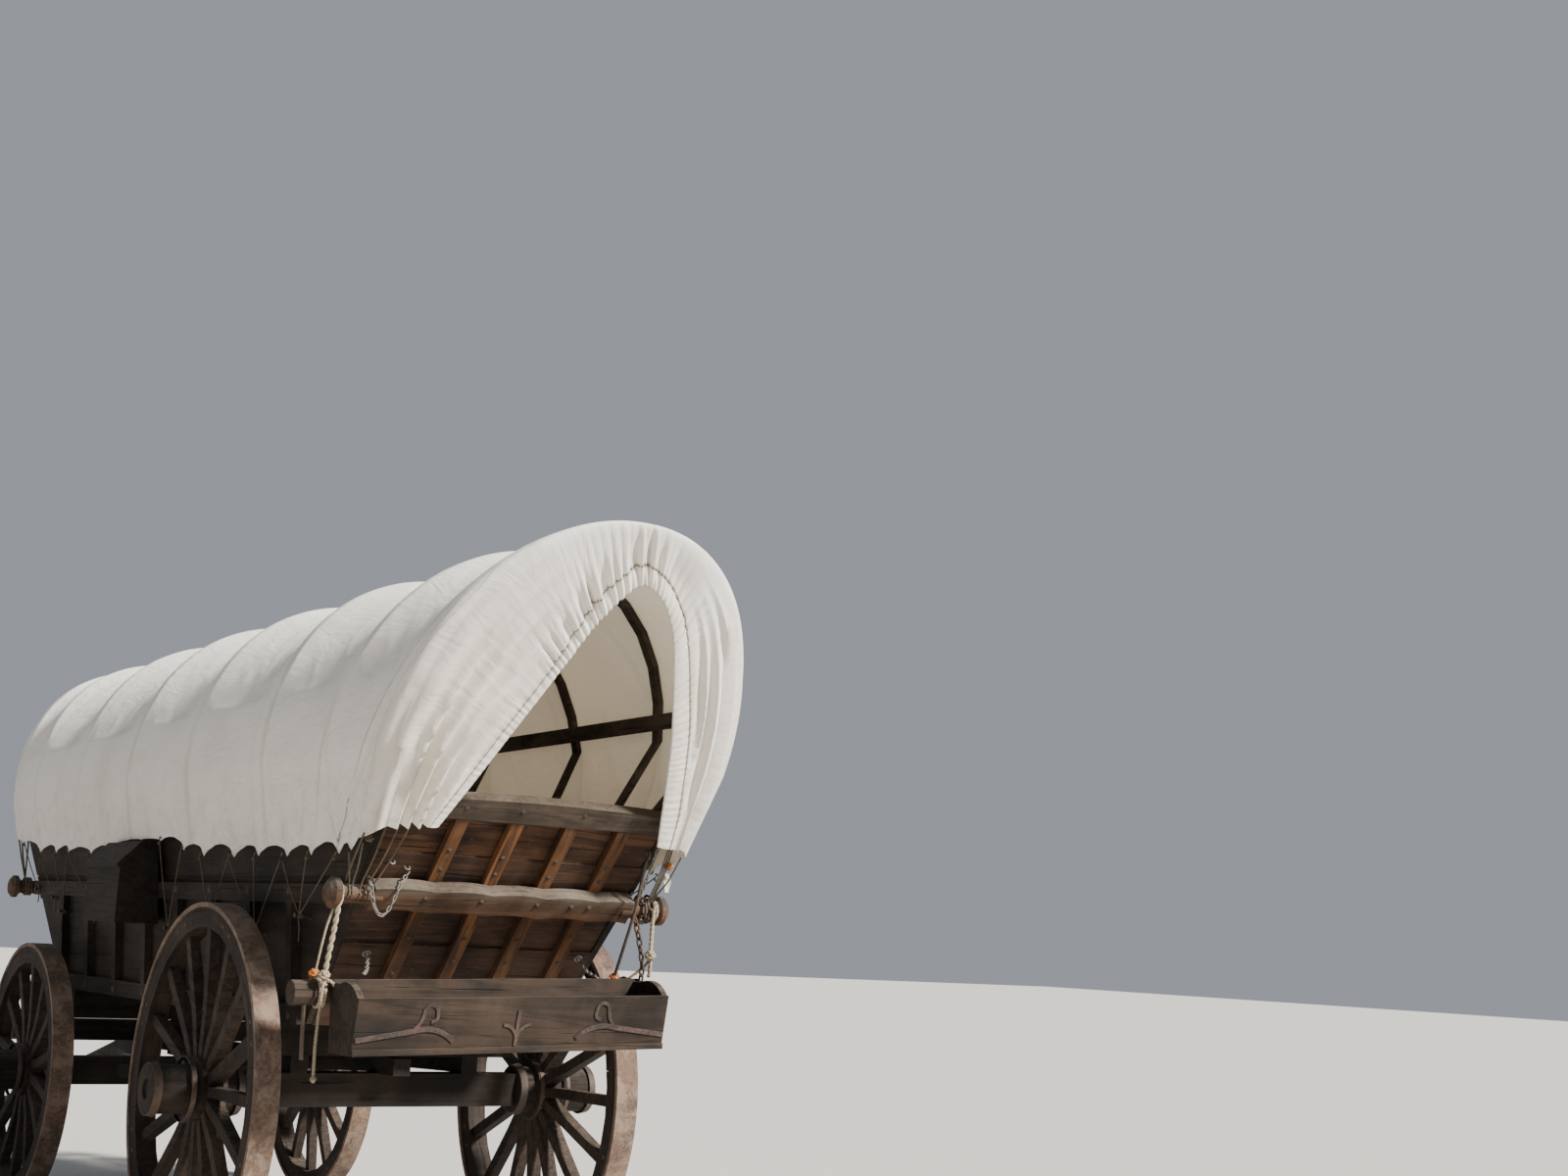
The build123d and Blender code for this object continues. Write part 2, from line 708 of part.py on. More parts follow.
# Rails that tie the bows together, inside them on both sides
cover_rail_start = -1400.0
cover_rail_end = 3380.0
cover_rail_thickness = 20.0
rail_inset = bow_inset + bow_thickness
cover_rail_x = rear_axle_x + cover_rail_start
with BuildPart() as cover_rails:
    low_y, low_z = arch_point(1, rail_inset)
    high_y, high_z = arch_point(2, rail_inset)
    run_y = high_y - low_y
    run_z = high_z - low_z
    run_length = (run_y**2 + run_z**2) ** 0.5
    rail_face = []
    for share in (0.3, 0.72):
        rail_face.append((low_y + share * run_y, low_z + share * run_z - fall_at(cover_rail_x)))
    rail_back = []
    for across, up in reversed(rail_face):
        rail_back.append(
            (
                across - cover_rail_thickness * run_z / run_length,
                up + cover_rail_thickness * run_y / run_length,
            )
        )
    for side in (1, -1):
        with BuildSketch(Plane.YZ.offset(cover_rail_x)):
            with BuildLine():
                Polyline(*[(side * across, up) for across, up in rail_face + rail_back], close=True)
            make_face()
        extrude(amount=cover_rail_end - cover_rail_start, dir=cover_direction)
cover_rails.part.label = "cover_rails"
export_step(cover_rails.part, "parts/cover_rails.step")

# Cover: a shell over the bows, its raked ends drawn in round an open mouth
hood_rear_run = -1850.0
hood_rear_x = rear_axle_x + hood_rear_run
hood_rear_rake = radians(-29.5)
hood_front_run = 3620.0
hood_front_x = rear_axle_x + hood_front_run
hood_front_rake = radians(17.5)
# hem: distance forward of the rear axle, height; it steps up over the toolbox
HEM = [
    (hood_rear_run - 50, 1720.0),
    (-1170.0, 1650.0),
    (-1010.0, 1592.0),
    (900.0, 1598.0),
    (1040.0, 1656.0),
    (1700.0, 1656.0),
    (1840.0, 1606.0),
    (2900.0, 1608.0),
    (3160.0, 1668.0),
    (hood_front_run + 400, 1730.0),
]
# mouths: y and z of the corners of each opening
REAR_MOUTH = [
    (430.0, 1500.0),
    (402.0, 1710.0),
    (285.0, 1955.0),
    (125.0, 2290.0),
    (0.0, 2510.0),
    (-70.0, 2552.0),
    (-260.0, 2440.0),
    (-356.0, 2228.0),
    (-420.0, 2050.0),
    (-507.0, 1677.0),
    (-520.0, 1500.0),
]
FRONT_MOUTH = [
    (636.0, 1500.0),
    (620.0, 1900.0),
    (470.0, 2220.0),
    (180.0, 2430.0),
    (-180.0, 2430.0),
    (-470.0, 2220.0),
    (-620.0, 1900.0),
    (-636.0, 1500.0),
]


def cover_outline(inset, low_z, x):
    """Outline of the cover's section at x, closed across its open bottom."""
    wall_slope = (cover_half_width - cover_hem_y) / (cover_spring_z - cover_low_z)
    low_y = cover_hem_y - (cover_low_z - low_z) * wall_slope
    left = [(low_y - inset, low_z), (cover_half_width - inset, cover_spring_z)]
    arch = [arch_point(step, inset) for step in range(1, arch_runs)]
    right = [(-across, up) for across, up in reversed(left)]
    return [(across, up - fall_at(x)) for across, up in left + arch + right]


def hood_plane(crown_x, hood_rake, setback):
    """Plane of a raked end of the cover, set back from its outside."""
    crown_z = cover_crown_z - fall_at(crown_x)
    facing = 1 if hood_rake > 0 else -1
    return Plane(
        origin=(crown_x - facing * setback / cos(hood_rake), 0, crown_z),
        x_dir=(0, 1, 0),
        z_dir=(cos(hood_rake), 0, -sin(hood_rake)),
    )


def cover_prism(inset, low_z, setback):
    """Solid inside the cover's outline between its two raked ends."""
    start_x = hood_rear_x - 600
    with BuildPart(mode=Mode.PRIVATE) as prism:
        with BuildSketch(Plane.YZ.offset(start_x)) as section:
            with BuildLine() as outline:
                Polyline(*cover_outline(inset, low_z, start_x), close=True)
            make_face()
        extrude(amount=hood_front_x - hood_rear_x + 1200, dir=cover_direction)
        split(bisect_by=hood_plane(hood_rear_x, hood_rear_rake, setback), keep=Keep.TOP)
        split(bisect_by=hood_plane(hood_front_x, hood_front_rake, setback), keep=Keep.BOTTOM)
    return prism.part


cover_body = cover_prism(0, cover_low_z, 0)
cover_hollow = cover_prism(cover_thickness, cover_low_z - 200, cover_thickness)
with BuildPart() as cover:
    add(cover_body)
    add(cover_hollow, mode=Mode.SUBTRACT)
    for mouth, mouth_x, facing in ((REAR_MOUTH, hood_rear_x, -1), (FRONT_MOUTH, hood_front_x, 1)):
        with BuildSketch(Plane.YZ.offset(mouth_x + facing * 400)):
            with BuildLine():
                Polyline(*mouth, close=True)
            make_face()
        extrude(amount=-facing * 1200, mode=Mode.SUBTRACT)
    with BuildSketch(Plane.XZ.offset(-1000)):
        with BuildLine():
            Polyline(
                *[(rear_axle_x + run, height) for run, height in HEM],
                (rear_axle_x + HEM[-1][0], cover_low_z - 300),
                (rear_axle_x + HEM[0][0], cover_low_z - 300),
                close=True,
            )
        make_face()
    extrude(amount=2000, mode=Mode.SUBTRACT)
cover.part.label = "cover"
export_step(cover.part, "parts/cover.step")

# Feed trough hung across the rear, its right end a little higher
trough_half_length = 618.0
trough_bottom_z = 920.0
trough_tilt = radians(1.9)
trough_back_x = rear_axle_x - 920.0
trough_board = 24.0
trough_base = 199.0
trough_mouth = 246.0
trough_front_height = 197.0
trough_back_height = 250.0
trough_end_height = 240.0
trough_lip = 12.0
trough_up = (0, sin(trough_tilt), cos(trough_tilt))
trough_right = (0, -cos(trough_tilt), sin(trough_tilt))
# local x runs forward, local y up the trough, local z to its right end
trough_plane = Plane(origin=(trough_back_x, 0, trough_bottom_z), x_dir=(1, 0, 0), z_dir=trough_right)
with BuildPart() as feed_trough:
    with BuildSketch(trough_plane.offset(-trough_half_length)):
        with BuildLine():
            Polyline(
                (0, 0),
                (0, trough_back_height),
                (-trough_board, trough_back_height),
                (-trough_board, trough_board),
                (-trough_base + trough_board, trough_board),
                (-trough_mouth + trough_board, trough_front_height),
                (-trough_mouth, trough_front_height),
                (-trough_base - 5, trough_board - 3),
                (-trough_base - trough_lip, trough_board - 3),
                (-trough_base - trough_lip, 0),
                close=True,
            )
        make_face()
    extrude(amount=2 * trough_half_length)
    for start in (-trough_half_length, trough_half_length - trough_board):
        with BuildSketch(trough_plane.offset(start)):
            with BuildLine():
                Polyline(
                    (-trough_mouth + 3, trough_front_height - 12),
                    (-trough_base, 0),
                    (0, 0),
                    (0, trough_end_height),
                    (-80, trough_end_height),
                )
                ThreePointArc((-80, trough_end_height), (-180, 236), (-trough_mouth + 3, trough_front_height - 12))
            make_face()
        extrude(amount=trough_board)
feed_trough.part.label = "feed_trough"
export_step(feed_trough.part, "parts/feed_trough.step")

# Forged straps on the front of the trough: end straps with scrolls and a forked one in the middle
strap_thickness = 5.0
strap_width = 18.0
front_slant = atan((trough_mouth - trough_base - 5) / (trough_front_height - trough_board + 3))
# local x runs to the right, local y up the front board, local z out of it
strap_plane = Plane(
    origin=(
        trough_back_x - trough_base - 5,
        (trough_board - 3) * sin(trough_tilt),
        trough_bottom_z + (trough_board - 3) * cos(trough_tilt),
    ),
    x_dir=trough_right,
    z_dir=(
        -cos(front_slant),
        -sin(front_slant) * sin(trough_tilt),
        -sin(front_slant) * cos(trough_tilt),
    ),
)
with BuildPart() as trough_irons:
    with BuildSketch(strap_plane):
        for side in (1, -1):
            with BuildLine():
                Line((side * 612, 34), (side * 400, 64))
                ThreePointArc((side * 400, 64), (side * 318, 66), (side * 244, 26))
            trace(line_width=strap_width)
            with BuildLine():
                ThreePointArc((side * 410, 62), (side * 378, 96), (side * 368, 132))
                ThreePointArc((side * 368, 132), (side * 340, 156), (side * 318, 128))
                ThreePointArc((side * 318, 128), (side * 320, 104), (side * 338, 96))
            trace(line_width=strap_width * 0.7)
            with BuildLine():
                ThreePointArc((0, 30), (side * 18, 66), (side * 56, 80))
            trace(line_width=strap_width * 0.6)
        with BuildLine():
            Line((0, 4), (0, 132))
        trace(line_width=strap_width * 0.7)
    extrude(amount=strap_thickness)
trough_irons.part.label = "trough_irons"
export_step(trough_irons.part, "parts/trough_irons.step")

# Pole lashed along the back of the trough, standing out past its left end
trough_bar_radius = 42.0
trough_bar_height = 205.0
trough_bar_left = 750.0
trough_bar_right = 600.0
with BuildPart() as trough_bar:
    with BuildSketch(trough_plane.offset(-trough_bar_left)):
        with Locations((trough_bar_radius, trough_bar_height)):
            RegularPolygon(trough_bar_radius, 10, major_radius=False, rotation=18)
    extrude(amount=trough_bar_left + trough_bar_right)
trough_bar.part.label = "trough_bar"
export_step(trough_bar.part, "parts/trough_bar.step")

# Hangers from the crossbar's necks to the ends of the trough
hanger_radius = 10.0
hanger_y = trough_half_length - trough_board / 2
hanger_top = crossbar_z - neck_radius
with BuildPart() as trough_hangers:
    for side in (1, -1):
        hanger_foot = trough_bottom_z + trough_end_height / cos(trough_tilt) - side * hanger_y * tan(trough_tilt)
        hanger_low = hanger_foot + hanger_radius * sin(trough_tilt)
        with BuildSketch(Plane.XY.offset(hanger_low)):
            with Locations((rear_crossbar_x, side * hanger_y)):
                Circle(hanger_radius)
        extrude(amount=hanger_top - hanger_low)
trough_hangers.part.label = "trough_hangers"
export_step(trough_hangers.part, "parts/trough_hangers.step")

# Toolbox on the left side, its back on the flared frame, with a slanted lid
toolbox_run = 1380.0
toolbox_x = rear_axle_x + toolbox_run
toolbox_length = 460.0
toolbox_low = 334.0
toolbox_ledge_height = 652.0
toolbox_front_y = 770.0
toolbox_front_z = 1540.0
toolbox_wall = 18.0
toolbox_ledge_drop = 26.0
lid_slope = radians(46.0)
lid_thickness = 20.0
lid_overhang = 18.0
lid_lift = 0.5
lid_margin = 8.0
hinge_y = 685.0
hinge_drop = (lid_thickness / 2 + lid_lift) / cos(lid_slope)
hinge_z = toolbox_front_z + (toolbox_front_y - hinge_y) * tan(lid_slope) + hinge_drop
ledge_front_y = hinge_y - lid_thickness / 2 - 3.0


def frame_y(height):
    """Outer face of the side frame at a height above the underside of the box."""
    return side_y(height) + (board_thickness + rail_thickness) / cos(flare) + 0.4


def seat_z(y):
    """Height of the edge that the lid lies on, at a distance from the middle of the wagon."""
    return hinge_z - hinge_drop - (y - hinge_y) * tan(lid_slope)


toolbox_base_z = floor_bottom + toolbox_low
ledge_z = floor_bottom + toolbox_ledge_height
with BuildPart() as toolbox:
    with BuildSketch(Plane.YZ.offset(toolbox_x - toolbox_length / 2)):
        with BuildLine():
            Polyline(
                (frame_y(toolbox_low), toolbox_base_z),
                (toolbox_front_y, toolbox_base_z),
                (toolbox_front_y, toolbox_front_z),
                (ledge_front_y, seat_z(ledge_front_y)),
                (ledge_front_y, ledge_z),
                (frame_y(toolbox_ledge_height), ledge_z),
                close=True,
            )
        make_face()
    extrude(amount=toolbox_length)
    with BuildSketch(Plane.YZ.offset(toolbox_x - toolbox_length / 2 + toolbox_wall)):
        with BuildLine():
            Polyline(
                (frame_y(toolbox_low) + toolbox_wall, toolbox_base_z + toolbox_wall),
                (toolbox_front_y - toolbox_wall, toolbox_base_z + toolbox_wall),
                (toolbox_front_y - toolbox_wall, ledge_z + 100),
                (hinge_y + lid_thickness / 2, ledge_z + 100),
                (hinge_y + lid_thickness / 2, ledge_z - toolbox_ledge_drop - 20),
                (frame_y(toolbox_ledge_height) + toolbox_wall, ledge_z - toolbox_ledge_drop - 20),
                close=True,
            )
        make_face()
    extrude(amount=toolbox_length - 2 * toolbox_wall, mode=Mode.SUBTRACT)
toolbox.part.label = "toolbox"
export_step(toolbox.part, "parts/toolbox.step")

# The lid's back edge is rounded about its hinge line
lid_run = (toolbox_front_y - hinge_y) / cos(lid_slope) + lid_overhang
half_lid = lid_thickness / 2
with BuildPart() as toolbox_lid:
    with BuildSketch(
        Plane(
            origin=(toolbox_x - toolbox_length / 2 - lid_margin, hinge_y, hinge_z),
            x_dir=(0, cos(lid_slope), -sin(lid_slope)),
            z_dir=(1, 0, 0),
        )
    ):
        with BuildLine():
            Polyline((0, -half_lid), (lid_run, -half_lid), (lid_run, half_lid), (0, half_lid))
            ThreePointArc((0, half_lid), (-half_lid, 0), (0, -half_lid))
        make_face()
    extrude(amount=toolbox_length + 2 * lid_margin)
toolbox_lid.part.label = "toolbox_lid"
export_step(toolbox_lid.part, "parts/toolbox_lid.step")
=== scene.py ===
"""Covered freight wagon: its canvas, ropes, chains, irons and finishes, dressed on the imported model."""

import logging
import math
import random
from dataclasses import dataclass, field
from enum import Enum
from typing import Any, Iterable, Sequence

import bpy
from mathutils import Matrix, Vector, noise


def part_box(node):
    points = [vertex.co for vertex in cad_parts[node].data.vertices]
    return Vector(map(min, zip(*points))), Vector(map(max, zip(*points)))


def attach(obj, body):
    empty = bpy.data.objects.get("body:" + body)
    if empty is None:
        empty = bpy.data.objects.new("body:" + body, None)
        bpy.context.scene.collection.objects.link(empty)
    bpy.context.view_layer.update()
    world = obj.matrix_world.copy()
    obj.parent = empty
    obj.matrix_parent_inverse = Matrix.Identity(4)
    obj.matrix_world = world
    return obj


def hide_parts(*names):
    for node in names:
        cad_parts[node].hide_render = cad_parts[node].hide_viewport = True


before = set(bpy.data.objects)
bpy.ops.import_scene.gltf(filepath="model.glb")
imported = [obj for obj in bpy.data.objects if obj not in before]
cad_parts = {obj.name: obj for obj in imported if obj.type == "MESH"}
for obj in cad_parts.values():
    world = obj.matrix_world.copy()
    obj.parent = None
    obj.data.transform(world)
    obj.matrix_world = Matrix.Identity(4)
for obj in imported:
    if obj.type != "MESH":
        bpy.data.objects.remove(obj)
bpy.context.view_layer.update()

log = logging.getLogger("wagon")

Colour = tuple[float, float, float]
Triple = tuple[float, float, float]
Pair = tuple[float, float]

AHEAD: Triple = (1.0, 0.0, 0.0)
LEFT: Triple = (0.0, 1.0, 0.0)
ABOVE: Triple = (0.0, 0.0, 1.0)


# Shader maths


class Signal:
    """A value that varies over a surface, held as the output socket of a shader node."""

    def __init__(self, graph: "Graph", socket: bpy.types.NodeSocket) -> None:
        """Keeps the socket and the graph that it belongs to."""
        self.graph = graph
        self.socket = socket

    def _math(self, operation: str, *others: Any) -> "Signal":
        """Adds one Math node on this value and the others, in the node's order."""
        inputs = dict(enumerate((self, *others)))
        return self.graph.signal("ShaderNodeMath", {"operation": operation}, inputs)

    def _flip(self, operation: str, other: Any) -> "Signal":
        """Adds one Math node with the other value first."""
        settings = {"operation": operation}
        return self.graph.signal("ShaderNodeMath", settings, {0: other, 1: self})

    def __add__(self, other: Any) -> "Signal":
        """Sum of this value and another."""
        return self._math("ADD", other)

    __radd__ = __add__

    def __sub__(self, other: Any) -> "Signal":
        """This value less another."""
        return self._math("SUBTRACT", other)

    def __rsub__(self, other: Any) -> "Signal":
        """Another value less this one."""
        return self._flip("SUBTRACT", other)

    def __mul__(self, other: Any) -> "Signal":
        """Product of this value and another."""
        return self._math("MULTIPLY", other)

    __rmul__ = __mul__

    def __truediv__(self, other: Any) -> "Signal":
        """This value divided by another."""
        return self._math("DIVIDE", other)

    def __rtruediv__(self, other: Any) -> "Signal":
        """Another value divided by this one."""
        return self._flip("DIVIDE", other)

    def __pow__(self, other: Any) -> "Signal":
        """This value raised to a power."""
        return self._math("POWER", other)

    def __abs__(self) -> "Signal":
        """This value without its sign."""
        return self._math("ABSOLUTE")

    def above(self, level: float) -> "Signal":
        """One where this value is greater than a level, and zero elsewhere."""
        return self._math("GREATER_THAN", level)

    def floor(self) -> "Signal":
        """This value's whole part."""
        return self._math("FLOOR")

    def fraction(self) -> "Signal":
        """This value's part after the point."""
        return self._math("FRACT")

    def sine(self) -> "Signal":
        """Sine of this value in radians."""
        return self._math("SINE")

    def ramp(self, low: float, high: float) -> "Signal":
        """Smooth rise from 0 to 1 between two levels of this value.

        Args:
            low: The level that gives 0.
            high: The level that gives 1.

        Returns:
            The risen value, kept between 0 and 1.
        """
        settings = {"interpolation_type": "SMOOTHSTEP"}
        inputs = {0: self, 1: low, 2: high, 3: 0.0, 4: 1.0}
        return self.graph.signal("ShaderNodeMapRange", settings, inputs)


class Graph:
    """The node tree of one material."""

    def __init__(self, name: str) -> None:
        """Makes an empty material.

        Args:
            name: The material's name.
        """
        self.material = bpy.data.materials.new(name)
        self.material.use_nodes = True
        self.tree = self.material.node_tree
        self.tree.nodes.clear()

    def node(self, kind: str, settings: dict[str, Any], inputs: dict[Any, Any]) -> bpy.types.Node:
        """Adds a node of any type.

        Args:
            kind: The node's type.
            settings: Its settings, set before its sockets.
            inputs: Values, sockets or signals for its sockets, by name or number.

        Returns:
            The new node.
        """
        made = self.tree.nodes.new(kind)
        for key, value in settings.items():
            setattr(made, key, value)
        for key, value in inputs.items():
            if isinstance(value, Signal):
                value = value.socket
            if isinstance(value, bpy.types.NodeSocket):
                self.tree.links.new(value, made.inputs[key])
            else:
                made.inputs[key].default_value = value
        return made

    def signal(
        self, kind: str, settings: dict[str, Any], inputs: dict[Any, Any], out: Any = 0
    ) -> Signal:
        """Adds a node and wraps one of its outputs, which is given by name or number."""
        return Signal(self, self.node(kind, settings, inputs).outputs[out])

    def place(self) -> bpy.types.NodeSocket:
        """Position on the object, in metres in the model's frame."""
        return self.node("ShaderNodeTexCoord", {}, {}).outputs["Object"]

    def parts(self, vector: Any) -> list[Signal]:
        """The three numbers of a vector, each as a signal."""
        split = self.node("ShaderNodeSeparateXYZ", {}, {0: vector})
        return [Signal(self, split.outputs[index]) for index in range(3)]

    def joined(self, x: Any, y: Any, z: Any) -> bpy.types.NodeSocket:
        """A vector from three numbers."""
        return self.node("ShaderNodeCombineXYZ", {}, {0: x, 1: y, 2: z}).outputs[0]

    def dot(self, vector: Any, direction: Any) -> Signal:
        """How far a vector reaches along a direction, which is three numbers or a socket."""
        settings = {"operation": "DOT_PRODUCT"}
        return self.signal("ShaderNodeVectorMath", settings, {0: vector, 1: direction}, "Value")

    def noise(
        self, vector: Any, scale: float, detail: float = 4.0, roughness: float = 0.55, twist: float = 0.0
    ) -> Signal:
        """Smooth random values over a vector.

        Args:
            vector: The position to read at.
            scale: How many features there are to a unit.
            detail: How many finer layers there are.
            roughness: How strong the finer layers are.
            twist: How far the pattern is distorted.

        Returns:
            Values of about 0 to 1.
        """
        inputs = {
            "Vector": vector,
            "Scale": scale,
            "Detail": detail,
            "Roughness": roughness,
            "Distortion": twist,
        }
        return self.signal("ShaderNodeTexNoise", {}, inputs, 0)

    def cells(self, vector: Any, scale: float) -> Signal:
        """Distance to the nearest of many scattered points."""
        inputs = {"Vector": vector, "Scale": scale}
        return self.signal("ShaderNodeTexVoronoi", {}, inputs, "Distance")

    def chance(self, value: Any) -> Signal:
        """One random number for each value."""
        settings = {"noise_dimensions": "1D"}
        return self.signal("ShaderNodeTexWhiteNoise", settings, {"W": value}, "Value")

    def mix(self, share: Any, first: Any, second: Any) -> bpy.types.NodeSocket:
        """Mixes two colours.

        Args:
            share: How much of the second shows.
            first: The first colour or socket.
            second: The second colour or socket.

        Returns:
            The socket of the mixed colour.
        """
        settings = {"data_type": "RGBA", "clamp_factor": True}
        first = (*first, 1.0) if isinstance(first, tuple) else first
        second = (*second, 1.0) if isinstance(second, tuple) else second
        return self.node("ShaderNodeMix", settings, {0: share, 6: first, 7: second}).outputs[2]

    def bump(self, height: Any, depth: float, under: Any = None) -> bpy.types.NodeSocket:
        """Relief from a height.

        Args:
            height: The height over the surface.
            depth: Metres of relief for a height of 1.
            under: The normal that the relief is laid on.

        Returns:
            The socket of the new normal.
        """
        inputs = {"Height": height, "Distance": depth}
        if under is not None:
            inputs["Normal"] = under
        return self.node("ShaderNodeBump", {}, inputs).outputs[0]

    def normal(self) -> bpy.types.NodeSocket:
        """The surface's own normal."""
        return self.node("ShaderNodeNewGeometry", {}, {}).outputs["Normal"]

    def rounded(self, radius: float) -> bpy.types.NodeSocket:
        """Normal of the surface with its sharp edges eased by a radius."""
        return self.node("ShaderNodeBevel", {"samples": 4}, {"Radius": radius}).outputs[0]

    def edge_mask(self, radius: float) -> Signal:
        """One along sharp edges, as wide as the radius, and zero on faces."""
        return (1.0 - self.dot(self.rounded(radius), self.normal())).ramp(0.004, 0.12)

    def surface(self, colour: Any, rough: Any, normal: Any = None, **fixed: Any) -> bpy.types.Material:
        """Ends the graph in one shader.

        Args:
            colour: The base colour.
            rough: The roughness.
            normal: The normal, if it isn't the surface's own.
            fixed: Further sockets by name, with _ for a space.

        Returns:
            The finished material.
        """
        inputs: dict[str, Any] = {"Base Color": colour, "Roughness": rough}
        if normal is not None:
            inputs["Normal"] = normal
        for key, value in fixed.items():
            inputs[key.replace("_", " ")] = value
        shader = self.node("ShaderNodeBsdfPrincipled", {}, inputs)
        self.node("ShaderNodeOutputMaterial", {}, {"Surface": shader.outputs[0]})
        return self.material


# Finishes


def dimmed(colour: Colour, share: float) -> Colour:
    """A colour with only a share of its light."""
    return tuple(share * value for value in colour)


@dataclass(frozen=True)
class Palette:
    """Colours of one wood: its light and dark grain, and the grey that weather gives it."""

    light: Any
    dark: Any
    grey: Any


@dataclass(frozen=True)
class Timber:
    """Weathered wood with its grain along one direction."""

    name: str
    palette: Palette
    along: Triple = LEFT
    across: Triple = ABOVE
    silvering: float = 0.45
    courses: tuple[float, ...] = ()
    course_start: float = 0.0
    stain: float = 0.6
    dust: float = 0.25
    dust_colour: Colour = (0.24, 0.195, 0.15)
    edge: float = 0.003
    # heights over which the wood turns to its top palette
    top: Palette | None = None
    top_range: Pair = (9.0, 10.0)

    def make(self) -> bpy.types.Material:
        """Builds the material.

        Returns:
            The finished wood.
        """
        graph = Graph(self.name)
        place = graph.place()
        along = graph.dot(place, self.along)
        across = graph.dot(place, self.across)
        aside = graph.dot(place, Vector(self.along).cross(Vector(self.across)))
        board = along * 0.0
        if self.courses:
            level = self.course_start
            for height in self.courses:
                level += height
                board = board + across.above(level)
        palette = self.palette
        if self.top is not None:
            _, _, height = graph.parts(place)
            share = (height + graph.noise(place, 6.0) * 0.03 - 0.015).ramp(*self.top_range)
            palette = self.mixed(graph, share, palette, self.top)
        return self.finish(graph, along, across, aside, board, palette)

    def mixed(self, graph: Graph, share: Signal, first: Palette, second: Palette) -> Palette:
        """A palette between two others.

        Args:
            graph: The graph of the material.
            share: How much of the second shows.
            first: The first palette.
            second: The second palette.

        Returns:
            The palette of the mixed colours.
        """
        return Palette(
            graph.mix(share, first.light, second.light),
            graph.mix(share, first.dark, second.dark),
            graph.mix(share, first.grey, second.grey),
        )

    def finish(
        self, graph: Graph, along: Signal, across: Signal, aside: Signal, board: Signal, palette: Palette
    ) -> bpy.types.Material:
        """Lays grain, colour, wear and relief over the given directions.

        Args:
            graph: The graph of the material.
            along: Distance along the grain.
            across: Distance across the grain on the face.
            aside: Distance across the grain into the wood.
            board: Number of the board or spoke.
            palette: The wood's colours.

        Returns:
            The finished wood.
        """
        luck = graph.chance(board + 0.37)
        shift = luck * 7.0
        fibre = graph.joined(along * 1.6 + shift, across * 42.0, aside * 42.0)
        broad = graph.joined(along * 0.9 + shift, across * 9.0, aside * 9.0)
        check = graph.joined(along * 2.4 + shift, across * 95.0, aside * 95.0)
        grain = graph.noise(fibre, 1.0, 6.0, 0.62, 0.35)
        figure = graph.noise(broad, 1.0, 3.0, 0.5, 0.8)
        cracks = graph.noise(check, 1.0, 2.0, 0.5)
        rings = ((figure * 34.0).sine() * 0.5 + 0.5) * 0.35 + grain * 0.65
        split = cracks.ramp(0.63, 0.72)
        fine = graph.noise(graph.place(), 46.0, 4.0, 0.65)
        worn = graph.edge_mask(self.edge)
        tone = graph.mix(rings.ramp(0.25, 0.75), palette.dark, palette.light)
        tone = graph.mix(luck * 0.6, tone, palette.dark)
        colour = self.weathered(graph, tone, figure, palette)
        colour = graph.mix(worn * fine.ramp(0.3, 0.7) * 0.5, colour, self.bare())
        dusty = graph.dot(graph.normal(), ABOVE).ramp(0.35, 0.95) * fine.ramp(0.25, 0.75) * self.dust
        colour = graph.mix(dusty, colour, self.dust_colour)
        colour = graph.mix(split * 0.85, colour, dimmed(self.palette.dark, 0.3))
        rough = 0.72 + fine * 0.2 - worn * 0.1
        relief = graph.bump(rings * 0.6 + fine * 0.4, 0.0018, graph.rounded(self.edge))
        relief = graph.bump(1.0 - split, 0.0028, relief)
        return graph.surface(colour, rough, relief, Specular_IOR_Level=0.3)

    def weathered(self, graph: Graph, tone: Any, figure: Signal, palette: Palette) -> bpy.types.NodeSocket:
        """Greys and stains the wood in broad patches.

        Args:
            graph: The graph of the material.
            tone: The wood's colour before it weathers.
            figure: The broad figure of the grain.
            palette: The wood's colours.

        Returns:
            The weathered colour.
        """
        blotch = graph.noise(graph.place(), 3.1, 5.0, 0.6, 0.3)
        low, high = 0.62 - 0.4 * self.silvering, 0.92 - 0.3 * self.silvering
        weather = (blotch * 0.7 + figure * 0.3).ramp(low, high)
        greyed = graph.mix(weather * (0.35 + 0.65 * self.silvering), tone, palette.grey)
        return graph.mix(blotch.ramp(0.55, 0.33) * self.stain, greyed, dimmed(self.palette.dark, 0.22))

    def bare(self) -> Colour:
        """Pale colour of the wood where its edges are worn."""
        light, grey = self.palette.light, self.palette.grey
        return tuple(min(1.0, 0.7 * a + 0.6 * b + 0.01) for a, b in zip(light, grey))


@dataclass(frozen=True)
class GateTimber(Timber):
    """Wood of a gate's frame: slats that run up the gate, and a weathered rail across its top."""

    rail: Palette | None = None
    rail_slope: float = 1.045

    def make(self) -> bpy.types.Material:
        """Builds the material.

        Returns:
            The finished wood.
        """
        graph = Graph(self.name)
        place = graph.place()
        up_slope = graph.dot(place, self.along)
        left = graph.dot(place, self.across)
        out = graph.dot(place, Vector(self.along).cross(Vector(self.across)))
        on_rail = up_slope.above(self.rail_slope)
        along = up_slope * (1.0 - on_rail) + left * on_rail
        across = left * (1.0 - on_rail) + up_slope * on_rail
        board = ((left * 4.55 + 0.5).floor() + 3.0) * (1.0 - on_rail)
        palette = self.mixed(graph, on_rail, self.palette, self.rail)
        return self.finish(graph, along, across, out, board, palette)


